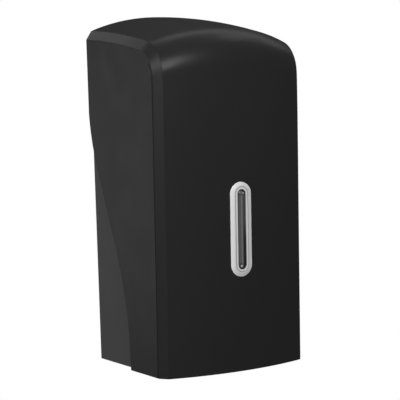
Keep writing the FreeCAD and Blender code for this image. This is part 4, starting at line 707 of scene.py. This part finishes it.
# What the ribs and marks on a wall start from: the wall, and the way to it from inside
COVER_WALL = {"Wall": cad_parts["front_cover"], "Way": (0.0, -1.0, 0.0)}
HOUSING_WALL = {"Wall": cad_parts["back_housing"], "Way": (0.0, 1.0, 0.0)}
INSIDE_COVER = -100.0 * MM
INSIDE_HOUSING = -30.0 * MM

COVER_RIB_STEP = 28.0 * MM
COVER_RIB_LENGTH = 112.0 * MM
COVER_RIB_RADIUS = 1.1 * MM
PLATE_RIB_START = -120.0 * MM
PLATE_RIB_COUNT = 4
PLATE_RIB_STEP = 60.0 * MM
PLATE_RIB_LENGTH = 56.0 * MM
PLATE_RIB_RADIUS = 1.0 * MM

# The cover's two groups of ribs, above and below the window: the lowest one's height, and how many
COVER_RIB_GROUPS = [("upper", 40.0 * MM, 3), ("lower", -126.0 * MM, 2)]


def make_wall_ribs():
    """Stiffening ribs inside the cover's front and across the housing's back plate."""
    pattern = wall_rib_pattern()
    for label, height, count in COVER_RIB_GROUPS:
        pattern.make(f"cover_{label}_ribs", "cover", **COVER_WALL, Count=count,
                     Start=(0.0, INSIDE_COVER, height), Step=(0.0, 0.0, COVER_RIB_STEP),
                     Length=COVER_RIB_LENGTH, Radius=COVER_RIB_RADIUS, Finish=inner_plastic)
    pattern.make("back_plate_ribs", "housing", **HOUSING_WALL, Count=PLATE_RIB_COUNT,
                 Start=(0.0, INSIDE_HOUSING, PLATE_RIB_START), Step=(0.0, 0.0, PLATE_RIB_STEP),
                 Length=PLATE_RIB_LENGTH, Radius=PLATE_RIB_RADIUS, Finish=casing_plastic)


COVER_MARK_GRID = {"Middle": (0.0, INSIDE_COVER, -25.0 * MM), "Across": 84.0 * MM,
                   "Up": 200.0 * MM, "Columns": 2, "Rows": 6}
HOUSING_MARK_GRID = {"Middle": (0.0, INSIDE_HOUSING, -30.0 * MM), "Across": 30.0 * MM,
                     "Up": 150.0 * MM, "Columns": 2, "Rows": 5}
MARK = {"Radius": 3.0 * MM, "Height": 0.16 * MM}


def make_ejector_marks():
    """The marks of the mould's ejector pins inside the cover and on the back plate."""
    pattern = ejector_ring_pattern()
    pattern.make("cover_ejector_marks", "cover", **COVER_WALL, **COVER_MARK_GRID, **MARK,
                 Finish=cover_plastic)
    pattern.make("housing_ejector_marks", "housing", **HOUSING_WALL, **HOUSING_MARK_GRID,
                 **MARK, Finish=casing_plastic)


MERGE_DISTANCE = 0.001 * MM
SHARP_ANGLE = math.radians(40)


def merged_copy(node, name):
    """A copy of a CAD node whose loose triangles are joined into one smooth skin."""
    copy = node.copy()
    copy.data = node.data.copy()
    copy.name = name
    skin = bmesh.new()
    skin.from_mesh(copy.data)
    bmesh.ops.remove_doubles(skin, verts=skin.verts, dist=MERGE_DISTANCE)
    skin.to_mesh(copy.data)
    skin.free()
    copy.data.shade_smooth()
    copy.data.set_sharp_from_angle(angle=SHARP_ANGLE)
    bpy.context.scene.collection.objects.link(copy)
    return copy


def make_pressed_springs():
    """The spindles' springs as smooth merged copies that ride on their spindles."""
    for row in ("lower", "reserve"):
        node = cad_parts[f"{row}_spindle_spring"]
        coil = merged_copy(node, f"{row}_pressed_spring")
        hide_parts(node.name)
        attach(coil, f"{row}_spindle")
        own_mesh(coil)


make_pressed_springs()
make_spindle_ribs()
make_grip_ridges()
make_wall_ribs()
make_ejector_marks()


# Camera, from the fit of the photograph. The origin is the centre of the wall screws.
CAMERA_PLACE = Vector((-626.4, -1103.4, 79.5)) * MM
CAMERA_WAY = Vector((0.51555, 0.85394, -0.07065))
CAMERA_ROLL = -0.031357
CAMERA_LENS = 119.28
CAMERA_SENSOR = 36.0


def make_camera():
    data = bpy.data.cameras.new("camera")
    data.sensor_width = CAMERA_SENSOR
    data.lens = CAMERA_LENS
    camera = bpy.data.objects.new("camera", data)
    bpy.context.scene.collection.objects.link(camera)
    way = CAMERA_WAY.normalized()
    right = way.cross(Vector((0, 0, 1))).normalized()
    up = right.cross(way)
    turned_right = right * math.cos(CAMERA_ROLL) + up * math.sin(CAMERA_ROLL)
    turned_up = up * math.cos(CAMERA_ROLL) - right * math.sin(CAMERA_ROLL)
    turn = Matrix((turned_right, turned_up, -way)).transposed()
    camera.matrix_world = Matrix.Translation(CAMERA_PLACE) @ turn.to_4x4()
    bpy.context.scene.camera = camera


LAMP_AIM = Vector((0.0, -60.0, 0.0)) * MM
ROUND_LAMP_SIDE = Vector((0.3, 1.0, 0.2))


def add_lamp(name, place, watts, shape, along):
    """An area lamp that faces the dispenser, its first side turned along the given way."""
    data = bpy.data.lights.new(name, "AREA")
    data.shape = shape
    data.energy = watts
    lamp = bpy.data.objects.new(name, data)
    bpy.context.scene.collection.objects.link(lamp)
    back = (place - LAMP_AIM).normalized()
    up = back.cross(along).normalized()
    turn = Matrix((up.cross(back), up, back)).transposed()
    lamp.matrix_world = Matrix.Translation(place) @ turn.to_4x4()
    return data


def make_round_lamp(name, place, size, watts):
    data = add_lamp(name, Vector(place), watts, "DISK", ROUND_LAMP_SIDE)
    data.size = size


def make_strip_lamp(name, start, end, width, watts):
    """A long soft box between two points."""
    start = Vector(start)
    end = Vector(end)
    data = add_lamp(name, (start + end) / 2, watts, "RECTANGLE", end - start)
    data.size = (end - start).length
    data.size_y = width


# The world is white to the eye and in reflections, and lights the dispenser only faintly
AMBIENT = 0.15


def make_world():
    world = bpy.data.worlds.new("studio")
    world.use_nodes = True
    bpy.context.scene.world = world
    tree = NodeTree(world.node_tree)
    path = tree.node("ShaderNodeLightPath").outputs
    seen = Number(tree, path["Is Camera Ray"])
    seen = seen.at_least(path["Is Glossy Ray"]).at_least(path["Is Transmission Ray"])
    background = tree.tree.nodes["Background"]
    tree.feed(background.inputs["Color"], WHITE)
    tree.feed(background.inputs["Strength"], seen.between(AMBIENT, 1.0))


FLOOR_RADIUS = 1.3
FLOOR_SIDES = 96
FLOOR_FORWARD = 0.2
FLOOR_DROP = 0.70
FLOOR_GREY = (0.80, 0.80, 0.80)

# Where the floor starts to turn white for the camera, and over what distance it does
FADE_START = 0.6
FADE_LENGTH = 0.6


def make_floor():
    """A pale disc well below the dispenser, which the camera sees fade to white."""
    place = (0.0, -FLOOR_FORWARD, cad_box[0][2] - FLOOR_DROP)
    bpy.ops.mesh.primitive_circle_add(vertices=FLOOR_SIDES, radius=FLOOR_RADIUS,
                                      fill_type="NGON", location=place)
    floor = bpy.context.object
    floor.name = "studio_floor"
    finish = Finish("pale_floor", Specular_IOR_Level=0.2)
    finish.set("Base Color", finish.mottle(finish.noise(scale=30.0), FLOOR_GREY,
                                           darkest=0.975, lightest=1.025))
    finish.set("Roughness", 0.8)
    right, behind, _ = finish.from_point((0.0, 0.0, 0.0))
    fade = ((length_of(right, behind) - FADE_START) / FADE_LENGTH).at_least(0.0).at_most(1.0)
    seen = finish.node("ShaderNodeLightPath").outputs["Is Camera Ray"]
    white = finish.node("ShaderNodeEmission", None, {"Strength": 1.0}).outputs[0]
    finish.overlay(fade * seen, white)
    floor.data.materials.append(finish.material)


make_camera()
make_world()
make_floor()
make_round_lamp("side_lamp", (-1.55, -0.25, 0.75), size=0.6, watts=12.3)
make_round_lamp("front_lamp", (-0.145, -0.60, 0.37), size=0.24, watts=2.35)
make_round_lamp("right_top_lamp", (0.85, -0.2, 1.45), size=0.4, watts=4.4)
make_strip_lamp("brow_lamp", (0.05, 0.50, 1.45), (1.25, 0.05, 0.75), width=0.45, watts=18.0)
make_strip_lamp("left_edge_lamp", (-1.10, -0.50, 0.06), (-1.10, -0.50, 0.52), width=0.16,
                watts=2.4)
make_round_lamp("rear_lamp", (-0.3, 1.2, 0.9), size=0.7, watts=13.0)
make_round_lamp("rear_left_lamp", (-0.8, 1.3, -0.05), size=0.8, watts=6.1)
bpy.context.scene.view_settings.view_transform = "Standard"
